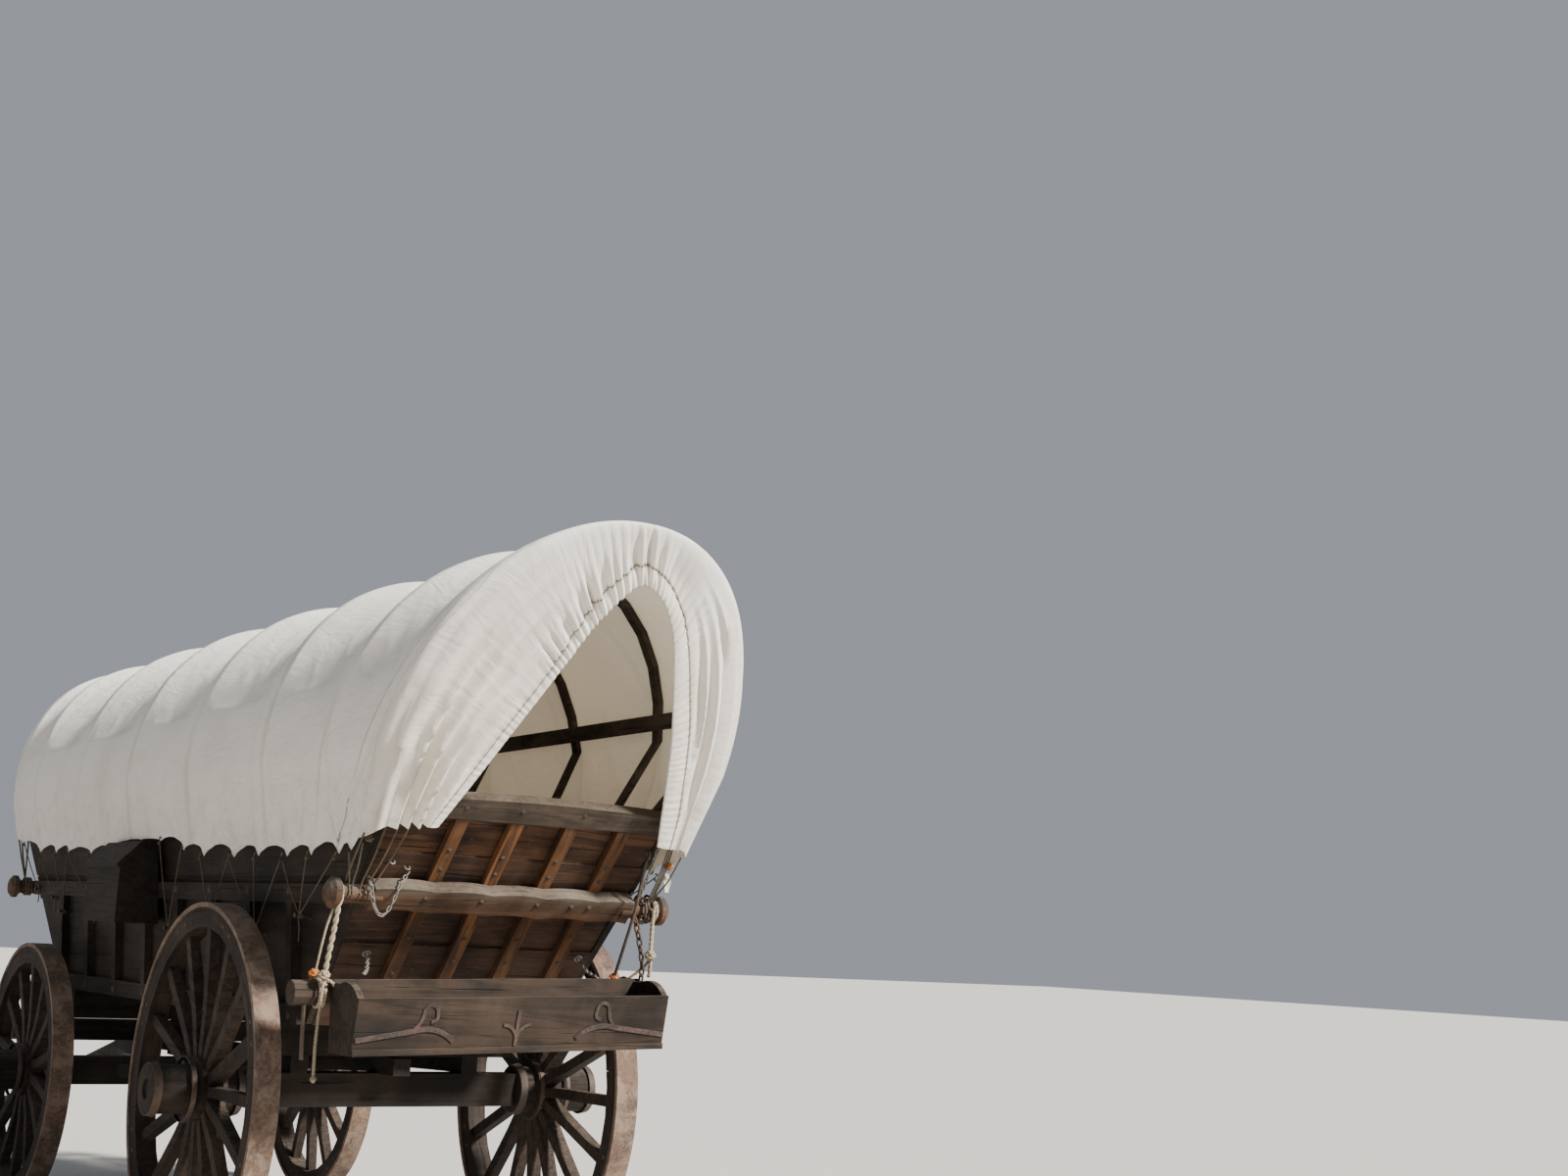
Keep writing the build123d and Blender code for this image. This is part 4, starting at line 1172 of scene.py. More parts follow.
@dataclass
class MouthColumn:
    """One grid line of a mouth, from its edge over the hood's corner to just before the last bow."""

    cover: "CanvasCover"
    folds: MouthFolds
    ring: Triple
    part: float
    rim: Vector
    corner_ease: float = 0.11
    face_ease: float = 0.13
    roof_share: float = 0.12
    # how much of the gathered strip's width shows: at the rear's left flap, up to where, and in front
    left_shown: float = 0.45
    left_until: float = 0.30
    left_fade: float = 0.15
    front_shown: float = 0.70
    rear_rows: int = 24
    front_rows: int = 12
    bend_rows: int = 6
    roof_rows: int = 10

    def __post_init__(self) -> None:
        """Works out where the line starts, turns and ends, and how far its cloth is drawn together."""
        cover, end = self.cover, self.folds.end
        self.hood, bow = cover.end_hoops(end)
        tilt = math.radians(self.hood[1])
        self.out = Vector((math.cos(tilt), 0.0, -math.sin(tilt))) * end.value
        self.mouth = Vector((cover.hoop_x(self.hood, self.rim.y), self.rim.x, self.rim.y))
        self.corner = cover.at_hoop(self.ring, self.hood)
        self.reach = cover.at_hoop(self.ring, bow).x - self.corner.x
        self.room = max(0.014, abs(self.reach) - cover.bow_half - 0.004)
        self.ease = -end.value * min(self.corner_ease, self.room)
        self.way = (self.corner - self.mouth).normalized()
        self.run = (self.corner - self.mouth).length
        eased_off = min(self.face_ease, abs(self.ease) + 0.025, self.run * 0.35)
        self.flat = self.run - eased_off
        self.turn = self.corner - self.way * eased_off
        strip = cover.edge_rows[-1]
        shown = self.front_shown
        if end is End.REAR:
            shown = between(self.left_shown, 1.0, limited((self.part - self.left_until) / self.left_fade))
        self.squeeze = min(shown, 0.8 * self.flat / strip)
        self.taken_up = strip * (1 - self.squeeze)
        self.free = min(1.0, self.flat / 0.15)

    def point(self, place: Vector, edge: float, hoop: float = 0.0) -> ClothPoint:
        """A point of the cloth at a distance from the mouth's edge."""
        return ClothPoint(place, 0.15 - edge, self.part * self.cover.girth_length, edge, hoop)

    def lift(self, edge: float, run: float) -> float:
        """How far the folds stand out, by the distances from the edge along the cloth and straight."""
        return self.folds.lift(self.part, edge, min(1.0, run / self.run)) * self.free

    def face_point(self, edge: float, run: float) -> ClothPoint:
        """A point of the face, by its distances from the edge along the cloth and straight."""
        return self.point(self.mouth + self.way * run + self.out * self.lift(edge, run), edge)

    def hem(self) -> list[ClothPoint]:
        """The turned-in edge and the gathered strip to just past its seam.

        Returns:
            The points, from the mouth inwards.
        """
        turned_in = ((0.020, 0.014, 0.011), (0.004, 0.004, 0.008))
        points = [
            self.point(self.mouth + self.way * ahead - self.out * behind, edge)
            for edge, ahead, behind in turned_in
        ]
        return points + [self.face_point(edge, edge * self.squeeze) for edge in self.cover.edge_rows]

    def face(self) -> list[ClothPoint]:
        """The open cloth from the strip towards the corner.

        Returns:
            The points, from the mouth inwards.
        """
        first = self.cover.edge_rows[-1] * self.squeeze
        rows = self.rear_rows if self.folds.end is End.REAR else self.front_rows
        runs = [between(first, self.flat, row / rows) for row in range(1, rows + 1)]
        return [self.face_point(run + self.taken_up, run) for run in runs]

    def bend(self) -> list[ClothPoint]:
        """The rounded corner from the face to the roof.

        Returns:
            The points, from the mouth inwards.
        """
        start = self.cover.at_hoop(self.ring, self.hood, self.ease)
        points = []
        for row in range(1, self.bend_rows + 1):
            t = row / self.bend_rows
            place = self.turn * (1 - t) ** 2 + self.corner * 2 * t * (1 - t) + start * t * t
            run = between(self.flat, self.run, t)
            edge = run + self.taken_up
            lift = self.lift(edge, run) * (1.0 - (1.0 - self.roof_share) * t)
            away = self.out.lerp(-self.cover.inward(place), t).normalized()
            points.append(self.point(place + away * lift, edge))
        return points

    def roof(self) -> list[ClothPoint]:
        """The roof from the corner to just before the last bow.

        Returns:
            The points, from the mouth inwards.
        """
        cover = self.cover
        at_corner = self.lift(self.run + cover.edge_rows[-1], self.run) * self.roof_share
        points = []
        for row in range(1, self.roof_rows):
            t = row / self.roof_rows
            ahead = between(self.ease, self.reach, t)
            place = cover.at_hoop(self.ring, self.hood, ahead)
            slack = cover.wrinkles(place, 0.3 * math.sin(math.pi * t), self.ring[2])
            amount = slack * min(1.0, self.room / 0.1) - at_corner * (1 - t)
            place = place + cover.inward(place) * max(-0.004, amount)
            points.append(self.point(place, self.run + abs(ahead), t))
        return points

    def points(self) -> list[ClothPoint]:
        """All points of the line, from the mouth inwards."""
        return self.hem() + self.face() + self.bend() + self.roof()


@dataclass
class CanvasCover:
    """Canvas drawn over the bows as one sheet, with scalloped hems and a puckered mouth at each end."""

    axle_x: float
    half_width: float = 0.705
    spring_z: float = 1.930
    crown_z: float = 2.728
    low_z: float = 1.560
    hem_y: float = 0.648
    wall: float = 0.36
    arch_power: float = 2.1
    fall: float = math.tan(math.radians(1.0))
    inset: float = 0.008
    girth_length: float = 4.2
    columns: int = 150
    row_pitch: float = 0.0167
    bow_half: float = 0.027
    seam: float = 0.075
    # sag between two bows: on the walls, added over the shoulder, and added up to the crown
    wall_sag: float = 0.009
    shoulder_sag: float = 0.009
    crown_sag: float = 0.080
    shoulder: float = 0.34
    full_gap: float = 0.80
    # hoops that carry the sheet: x of the crown from the rear axle, lean in degrees
    hoops: tuple[Pair, ...] = (
        (-1.850, -29.5), (-1.800, -37.5), (-1.090, -19.0), (-0.230, 0.0), (0.620, 0.0), (1.420, 0.0),
        (2.240, 0.0), (3.150, 17.0), (3.560, 23.0), (3.620, 17.5),
    )
    # edges of the mouths, from left to right: y and height
    rear_mouth: tuple[Pair, ...] = (
        (0.416, 1.690), (0.350, 1.820), (0.285, 1.955), (0.205, 2.120), (0.125, 2.285), (0.062, 2.410),
        (-0.050, 2.545), (-0.160, 2.508), (-0.236, 2.415), (-0.284, 2.315), (-0.326, 2.205),
        (-0.386, 2.040), (-0.432, 1.860), (-0.476, 1.680),
    )
    front_mouth: tuple[Pair, ...] = (
        (0.628, 1.690), (0.618, 1.900), (0.560, 2.080), (0.460, 2.225), (0.320, 2.340), (0.160, 2.425),
        (0.000, 2.445), (-0.160, 2.425), (-0.320, 2.340), (-0.460, 2.225), (-0.560, 2.080),
        (-0.618, 1.900), (-0.628, 1.690),
    )
    # hem tips that the ties pull down: x from the rear axle, height, rise of the arch in front of it
    hem_tips: tuple[Triple, ...] = (
        (-1.167, 1.647, 0.020), (-1.040, 1.588, 0.044), (-0.938, 1.572, 0.056), (-0.683, 1.576, 0.048),
        (-0.436, 1.572, 0.050), (-0.153, 1.574, 0.055), (0.124, 1.570, 0.060), (0.458, 1.580, 0.044),
        (0.695, 1.606, 0.040), (0.986, 1.650, 0.012), (1.260, 1.662, 0.010), (1.560, 1.655, 0.016),
        (1.755, 1.611, 0.041), (2.010, 1.603, 0.035), (2.354, 1.612, 0.044), (2.570, 1.606, 0.053),
        (2.830, 1.605, 0.036), (3.150, 1.667, 0.020), (3.420, 1.695, 0.010),
    )
    # distances of the grid rows from a mouth's edge, close together about its seam
    edge_rows: tuple[float, ...] = (
        0.0, 0.008, 0.018, 0.030, 0.042, 0.054, 0.064, 0.070, 0.0735, 0.0765, 0.080, 0.088, 0.100,
        0.118,
    )

    def hem_height(self, x: float) -> float:
        """Height of the hem, which hangs in arches between its tips.

        Args:
            x: Distance from the rear axle.

        Returns:
            The height.
        """
        tips = self.hem_tips
        if x <= tips[0][0]:
            return tips[0][1] + (tips[0][0] - x) * 0.25
        for (x0, z0, rise), (x1, z1, _) in zip(tips[:-1], tips[1:]):
            if x <= x1:
                share = (x - x0) / (x1 - x0)
                return between(z0, z1, share) + rise * (4 * share * (1 - share)) ** 0.62
        return tips[-1][1]

    def pull(self, x: float) -> float:
        """How strongly a tie draws the cloth together at x: 1 at a hem tip and 0 away from it."""
        nearest = min(abs(x - tip[0]) for tip in self.hem_tips)
        return math.exp(-((nearest / 0.045) ** 2))

    def section(self) -> list[Vector]:
        """Upper part of the cover's section over the rear axle.

        Returns:
            Its points as y and z, from the left spring to the right.
        """
        steps = 240
        rise = self.crown_z - self.spring_z - self.inset
        power = 2 / self.arch_power
        points = []
        for step in range(steps + 1):
            angle = math.pi * step / steps
            side = 1 if math.cos(angle) >= 0 else -1
            across = side * (self.half_width - self.inset) * abs(math.cos(angle)) ** power
            points.append(Vector((across, self.spring_z + rise * math.sin(angle) ** power, 0.0)))
        return points

    def rings(self, count: int) -> list[Triple]:
        """Places round the section for a number of columns.

        Args:
            count: How many columns there are.

        Returns:
            For each grid line its y, its z and its share of the way down a side wall.
        """
        upper = self.section()
        arc = run_length(upper)
        whole = arc + 2 * self.wall
        places = []
        for step in range(count + 1):
            run = whole * step / count
            if run < self.wall:
                places.append((1.0, 0.0, 1.0 - run / self.wall))
            elif run > whole - self.wall:
                places.append((-1.0, 0.0, 1.0 - (whole - run) / self.wall))
            else:
                point = along_line(upper, (run - self.wall) / arc)
                places.append((point.x, point.y, 0.0))
        return places

    def end_hoops(self, end: End) -> tuple[Pair, Pair]:
        """The hood's hoop at an end and the bow behind it."""
        return (self.hoops[0], self.hoops[1]) if end is End.REAR else (self.hoops[-1], self.hoops[-2])

    def hoop_x(self, hoop: Pair, z: float) -> float:
        """Distance from the rear axle of a hoop at a height.

        Args:
            hoop: The hoop's crown and lean.
            z: The height.

        Returns:
            The distance.
        """
        crown_x, lean = hoop
        crown = self.crown_z - crown_x * self.fall
        return crown_x + (z - crown) * math.tan(math.radians(lean))

    def on_wall(self, ring: Triple, x: float) -> Pair:
        """Where a grid line runs before it sags.

        Args:
            ring: The grid line round the section.
            x: Distance from the rear axle.

        Returns:
            Its y and z.
        """
        y, z, down = ring
        if down > 0:
            spring = self.spring_z - x * self.fall
            level = between(spring, self.hem_height(x), down)
            share = (spring - level) / (self.spring_z - self.low_z)
            return y * (between(self.half_width, self.hem_y, share) - self.inset), level
        return y, z - x * self.fall

    def at_hoop(self, ring: Triple, hoop: Pair, ahead: float = 0.0) -> Vector:
        """Where a grid line meets a hoop, found by a few steps because the hoop leans.

        Args:
            ring: The grid line round the section.
            hoop: The hoop's crown and lean.
            ahead: How far in front of the hoop.

        Returns:
            The point.
        """
        x = hoop[0]
        for _ in range(4):
            y, z = self.on_wall(ring, x)
            x = self.hoop_x(hoop, z) + ahead
        y, z = self.on_wall(ring, x)
        return Vector((x, y, z))

    def height_share(self, place: Vector) -> float:
        """How high a point of the sheet lies, from 0 at the spring to 1 at the crown."""
        return max(0.0, (place.z - self.spring_z + place.x * self.fall) / (self.crown_z - self.spring_z))

    def inward(self, place: Vector) -> Vector:
        """Direction from a point of the sheet to the inside of the wagon."""
        top = self.height_share(place)
        return -Vector((0.0, place.y / self.half_width * (1.0 - top * 0.5), top + 0.02)).normalized()

    def wrinkles(self, place: Vector, loose: float, down: float) -> float:
        """How far folds and creases move the cloth inwards.

        Args:
            place: The point, from the rear axle.
            loose: How free the cloth is, from 0 on a bow to 1 between two.
            down: How far down the wall it lies.

        Returns:
            The distance in metres.
        """
        x, y, z = place
        drift = noise.noise(Vector((x * 0.9 + 3.0, y * 1.4, z * 1.2)))
        fold = noise.noise(Vector((x * 4.2 + z * 2.6, y * 2.0, z * 1.1 + 9.0)))
        crease = noise.noise(Vector((x * 7.0 - z * 4.5, y * 3.0, z * 1.6 + 31.0)))
        ridge = (1.0 - abs(crease) * 2.6) ** 3 if abs(crease) < 0.38 else 0.0
        amount = (0.25 + 0.75 * loose) * (0.004 * drift + 0.004 * fold - 0.003 * ridge)
        if down > 0:
            pull = self.pull(x)
            flute = abs(math.sin(math.pi * (x * 9.0 + 0.4 * drift)))
            amount += down**2.2 * (0.006 * (1 - pull) - 0.007 * pull + 0.005 * flute * (1 - pull))
            amount += down**0.8 * pull * 0.004
        return amount

    def body_point(self, ring: Triple, part: float, span: int, share: float) -> ClothPoint:
        """A point of the sheet between two hoops, sagged and creased.

        Args:
            ring: The grid line round the section.
            part: The grid line's share of the girth.
            span: Number of the hoop behind the point.
            share: How far it lies towards the next hoop.

        Returns:
            The point.
        """
        behind = self.at_hoop(ring, self.hoops[span])
        ahead = self.at_hoop(ring, self.hoops[span + 1])
        gap = ahead.x - behind.x
        x = between(behind.x, ahead.x, share)
        place = Vector((x, *self.on_wall(ring, x)))
        top = self.height_share(place)
        bare = limited((share * gap - self.bow_half) / max(0.01, gap - 2 * self.bow_half))
        dip = (4 * bare * (1 - bare)) ** 0.92
        depth = self.wall_sag + self.shoulder_sag * min(1.0, top / self.shoulder)
        depth += self.crown_sag * max(0.0, (top - self.shoulder) / (1.0 - self.shoulder)) ** 0.55
        amount = depth * min(1.0, gap / self.full_gap) * dip + self.wrinkles(place, dip, ring[2])
        place += self.inward(place) * max(amount, -0.005)
        return ClothPoint(place, place.x + 2.0, part * self.girth_length, 9.0, span + share)

    def mouth_rows(self, end: End, count: int) -> list[list[ClothPoint]]:
        """Grid of one mouth.

        Args:
            end: Which end.
            count: How many columns it has round the section.

        Returns:
            Its rows, from the mouth inwards.
        """
        corners = self.rear_mouth if end is End.REAR else self.front_mouth
        line = eased([Vector((y, z, 0.0)) for y, z in corners], 12)
        folds = MouthFolds(end, self.seam)
        columns = []
        for index, ring in enumerate(self.rings(count)):
            part = index / count
            columns.append(MouthColumn(self, folds, ring, part, along_line(line, part)).points())
        return [list(row) for row in zip(*columns)]

    def body_rows(self) -> list[list[ClothPoint]]:
        """Grid of the sheet between the two last bows.

        Returns:
            Its rows, from rear to front, closer together near the bows.
        """
        rings = self.rings(self.columns)
        rows = []
        last = len(self.hoops) - 3
        for span in range(1, last + 1):
            steps = max(3, round((self.hoops[span + 1][0] - self.hoops[span][0]) / self.row_pitch))
            for step in range(steps + (span == last)):
                t = step / steps
                share = t - 0.3 * math.sin(2 * math.pi * t) / (2 * math.pi)
                row = [
                    self.body_point(ring, index / self.columns, span, share)
                    for index, ring in enumerate(rings)
                ]
                rows.append(row)
        return rows

    def strips(self) -> list[list[list[ClothPoint]]]:
        """Grids of the rear mouth, the body and the front mouth, each as rows from rear to front."""
        front = self.mouth_rows(End.FRONT, self.columns * 2)
        return [self.mouth_rows(End.REAR, self.columns * 4), self.body_rows(), front[::-1]]

    def sewn(self, behind: Sequence[int], ahead: Sequence[int]) -> list[tuple[int, ...]]:
        """Faces that join two rows of points of which one is finer.

        Args:
            behind: Numbers of the points of the rear row.
            ahead: Numbers of the points of the front row.

        Returns:
            The faces.
        """
        fine, coarse = (behind, ahead) if len(behind) > len(ahead) else (ahead, behind)
        ratio = (len(fine) - 1) // (len(coarse) - 1)
        faces = []
        for column in range(len(coarse) - 1):
            run = fine[column * ratio : (column + 1) * ratio + 1]
            face = (*run, coarse[column + 1], coarse[column])
            faces.append(face if fine is ahead else face[::-1])
        return faces

    def mesh(self, strips: Sequence[Sequence[Sequence[ClothPoint]]]) -> bpy.types.Mesh:
        """The sheet's mesh, with the cloth's own measures as two UV maps.

        Args:
            strips: The three grids.

        Returns:
            The mesh.
        """
        points: list[ClothPoint] = []
        faces: list[tuple[int, ...]] = []
        borders: list[list[int]] = []
        for rows in strips:
            first = len(points)
            wide = len(rows[0])
            for row in rows:
                points.extend(row)
            for row in range(len(rows) - 1):
                for column in range(wide - 1):
                    start = first + row * wide + column
                    faces.append((start, start + wide, start + wide + 1, start + 1))
            borders.append(list(range(first, first + wide)))
            borders.append(list(range(len(points) - wide, len(points))))
        faces += self.sewn(borders[1], borders[2]) + self.sewn(borders[3], borders[4])
        mesh = bpy.data.meshes.new("canvas_cover")
        shift = Vector((self.axle_x, 0.0, 0.0))
        mesh.from_pydata([point.place + shift for point in points], [], faces)
        measures = {
            "measure": [(point.along, point.girth) for point in points],
            "rim": [(point.edge, point.hoop) for point in points],
        }
        for name, values in measures.items():
            layer = mesh.uv_layers.new(name=name)
            layer.data.foreach_set("uv", [v for loop in mesh.loops for v in values[loop.vertex_index]])
        mesh.polygons.foreach_set("use_smooth", [True] * len(mesh.polygons))
        return mesh

    def build(self, finish: bpy.types.Material) -> None:
        """Args:
            finish: The canvas material.
        """
        strips = self.strips()
        mesh = self.mesh(strips)
        piece = add_object("canvas_cover", mesh, "wagon", finish)
        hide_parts("cover")
        girth = max(run_length([point.place for point in row]) for row in strips[1])
        crown = sum(run_length([row[len(row) // 2].place for row in rows]) for rows in strips)


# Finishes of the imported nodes


@dataclass(frozen=True)
class Wheel:
    """Where a wheel stands from the rear axle, its size and its number of spokes."""

    name: str
    run: float
    side: int
    radius: float
    spokes: int
    half_track: float = 0.7365

    def centre(self, axle_x: float = 0.0) -> Triple:
        """Middle of its hub, from the rear axle or in the frame of the given axle."""
        return (axle_x + self.run, self.side * self.half_track, self.radius)


@dataclass(frozen=True)
class Box:
    """Sizes of the wagon's box that finishes and rigging share, from the rear axle and the ground."""

    rake: float = math.radians(42.0)
    foot_x: float = -0.452
    foot_z: float = 0.968
    middle: float = 1.135
    half_length: float = 1.587


@dataclass
class NodeFinishes:
    """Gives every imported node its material."""

    axle_x: float
    wheels: Sequence[Wheel]
    box: Box = Box()
    # heights of a gate's boards, and where the rail across its top starts up the slope
    gate_courses: tuple[float, ...] = (0.416, 0.239, 0.200)
    rail_start: float = 1.045
    side_joint_z: float = 1.513
    plank_widths: tuple[float, ...] = (0.24, 0.25, 0.24)
    floor_edge_y: float = -0.49

    def gates(self) -> dict[str, Timber]:
        """Finishes of the gates and their frames.

        Returns:
            The finishes by node.
        """
        board = Palette((0.100, 0.046, 0.021), (0.026, 0.012, 0.007), (0.088, 0.056, 0.036))
        slat = Palette((0.180, 0.078, 0.028), (0.052, 0.022, 0.009), (0.125, 0.070, 0.038))
        rail = Palette((0.125, 0.096, 0.070), (0.036, 0.026, 0.018), (0.165, 0.140, 0.112))
        warm = Palette((0.165, 0.076, 0.030), (0.042, 0.020, 0.010), (0.120, 0.078, 0.048))
        rake = self.box.rake
        rear_x = self.axle_x + self.box.foot_x
        front_x = self.axle_x + self.box.middle + self.box.half_length
        finishes = {}
        for end, foot_x, way in (("rear", rear_x, -1), ("front", front_x, 1)):
            up = (way * math.sin(rake), 0.0, math.cos(rake))
            foot = way * foot_x * math.sin(rake) + self.box.foot_z * math.cos(rake)
            boards = dict(courses=self.gate_courses, course_start=foot)
            across = dict(rail=rail, rail_slope=foot + self.rail_start)
            # the crossbar turns grey above these heights: weathered wood, and partly painted light for its
            # sunlit top
            grey_lit_top = dict(top=rail, top_range=(1.440, 1.478))
            finishes[f"{end}_gate"] = Timber(f"{end}_gate_boards", board, LEFT, up, **boards)
            finishes[f"{end}_gate_frame"] = GateTimber(f"{end}_gate_slats", slat, up, LEFT, 0.3, **across)
            finishes[f"{end}_crossbar"] = Timber(f"{end}_crossbar_wood", warm, LEFT, ABOVE, 0.6, **grey_lit_top)
        return finishes

    def timbers(self) -> dict[str, Timber]:
        """Finishes of the other wooden nodes outside the wheels.

        Returns:
            The finishes by node.
        """
        grey = Palette((0.095, 0.070, 0.050), (0.028, 0.020, 0.014), (0.130, 0.108, 0.086))
        trough = Palette((0.056, 0.034, 0.020), (0.0125, 0.0078, 0.005), (0.058, 0.040, 0.027))
        # dark and side are near-black woods: partly their own dark tone, partly painted shade for the deep
        # shade under and along the box
        dark = Palette((0.034, 0.022, 0.014), (0.009, 0.006, 0.004), (0.044, 0.033, 0.025))
        side = Palette((0.044, 0.028, 0.017), (0.012, 0.0075, 0.005), (0.058, 0.043, 0.031))
        boards = dict(courses=(0.0,), course_start=self.side_joint_z)
        planks = dict(courses=self.plank_widths, course_start=self.floor_edge_y, dust=0.5)
        beams = ("rear_bolster", "front_bolster", "sand_board", "sway_bar", "rear_axle", "front_axle")
        finishes = {name: Timber(f"{name}_wood", dark, LEFT, ABOVE) for name in beams}
        for hand in ("left", "right"):
            finishes[f"{hand}_side_boards"] = Timber(f"{hand}_side_wood", side, AHEAD, ABOVE, **boards)
            finishes[f"{hand}_side_frame"] = Timber(f"{hand}_frame_wood", side, AHEAD, ABOVE)
        return {
            **finishes,
            "feed_trough": Timber("feed_trough_wood", trough, LEFT, ABOVE, 0.5, dust=0.35),
            "trough_bar": Timber("trough_pole_wood", trough, LEFT, ABOVE, 0.8),
            "floor_boards": Timber("floor_wood", side, AHEAD, LEFT, **planks),
            "sills": Timber("sill_wood", dark, AHEAD, LEFT),
            "reach": Timber("reach_wood", dark, AHEAD, LEFT),
            "rear_hounds": Timber("rear_hound_wood", dark, AHEAD, LEFT),
            "front_hounds": Timber("front_hound_wood", dark, AHEAD, LEFT),
            "tongue": Timber("tongue_wood", grey, AHEAD, LEFT, 0.6, dust=0.35),
            "doubletree": Timber("doubletree_wood", grey, LEFT, AHEAD, 0.5),
            "toolbox": Timber("toolbox_wood", dark, AHEAD, ABOVE, 0.3),
            "toolbox_lid": Timber("toolbox_lid_wood", dark, AHEAD, LEFT, 0.4, dust=0.35),
            "bows": Timber("bow_wood", grey, LEFT, AHEAD, 0.5, dust=0.1),
            "cover_rails": Timber("cover_rail_wood", grey, AHEAD, ABOVE, 0.5, dust=0.1),
        }

    def irons(self) -> dict[str, Iron]:
        """Finishes of the iron nodes outside the wheels.

        Returns:
            The finishes by node.
        """
        return {
            "kingpin": Iron("kingpin_iron"),
            "tongue_pin": Iron("tongue_pin_iron"),
            "trough_irons": Iron(
                "trough_strap_iron",
                metal=(0.030, 0.025, 0.022),
                rust=(0.070, 0.040, 0.027),
                bright=(0.14, 0.12, 0.11),
            ),
        }

    def wheel(self, wheel: Wheel) -> dict[str, Any]:
        """Finishes of one wheel's nodes.

        Args:
            wheel: The wheel.

        Returns:
            The finishes by node.
        """
        name = wheel.name
        # near-black wheel wood: partly its own dark tone, partly painted shade for the wheels' deep shade
        wood = Palette((0.048, 0.030, 0.019), (0.013, 0.008, 0.0055), (0.062, 0.046, 0.034))
        spokes = dict(centre=wheel.centre(self.axle_x), pieces=float(wheel.spokes), turn=0.5)
        felloes = dict(centre=wheel.centre(self.axle_x), pieces=wheel.spokes / 2, rim=True)
        return {
            f"{name}_hub": Timber(f"{name}_hub_wood", wood, LEFT, ABOVE),
            f"{name}_spokes": WheelTimber(f"{name}_spoke_wood", wood, **spokes),
            f"{name}_felloes": WheelTimber(f"{name}_felloe_wood", wood, **felloes),
            f"{name}_tyre": Iron(f"{name}_tyre_iron", rust=(0.150, 0.090, 0.060), rusting=0.9, mud=0.5),
        }

    def dress(self) -> None:
        """Assigns each finish to its node."""
        finishes: dict[str, Any] = {**self.gates(), **self.timbers(), **self.irons()}
        for wheel in self.wheels:
            finishes.update(self.wheel(wheel))
        for node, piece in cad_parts.items():
            if node not in finishes:
                continue
            material = finishes[node].make()
            piece.data.materials.clear()
            piece.data.materials.append(material)
            log.info("%s is finished as %s", node, material.name)


# Ropes, chains and irons


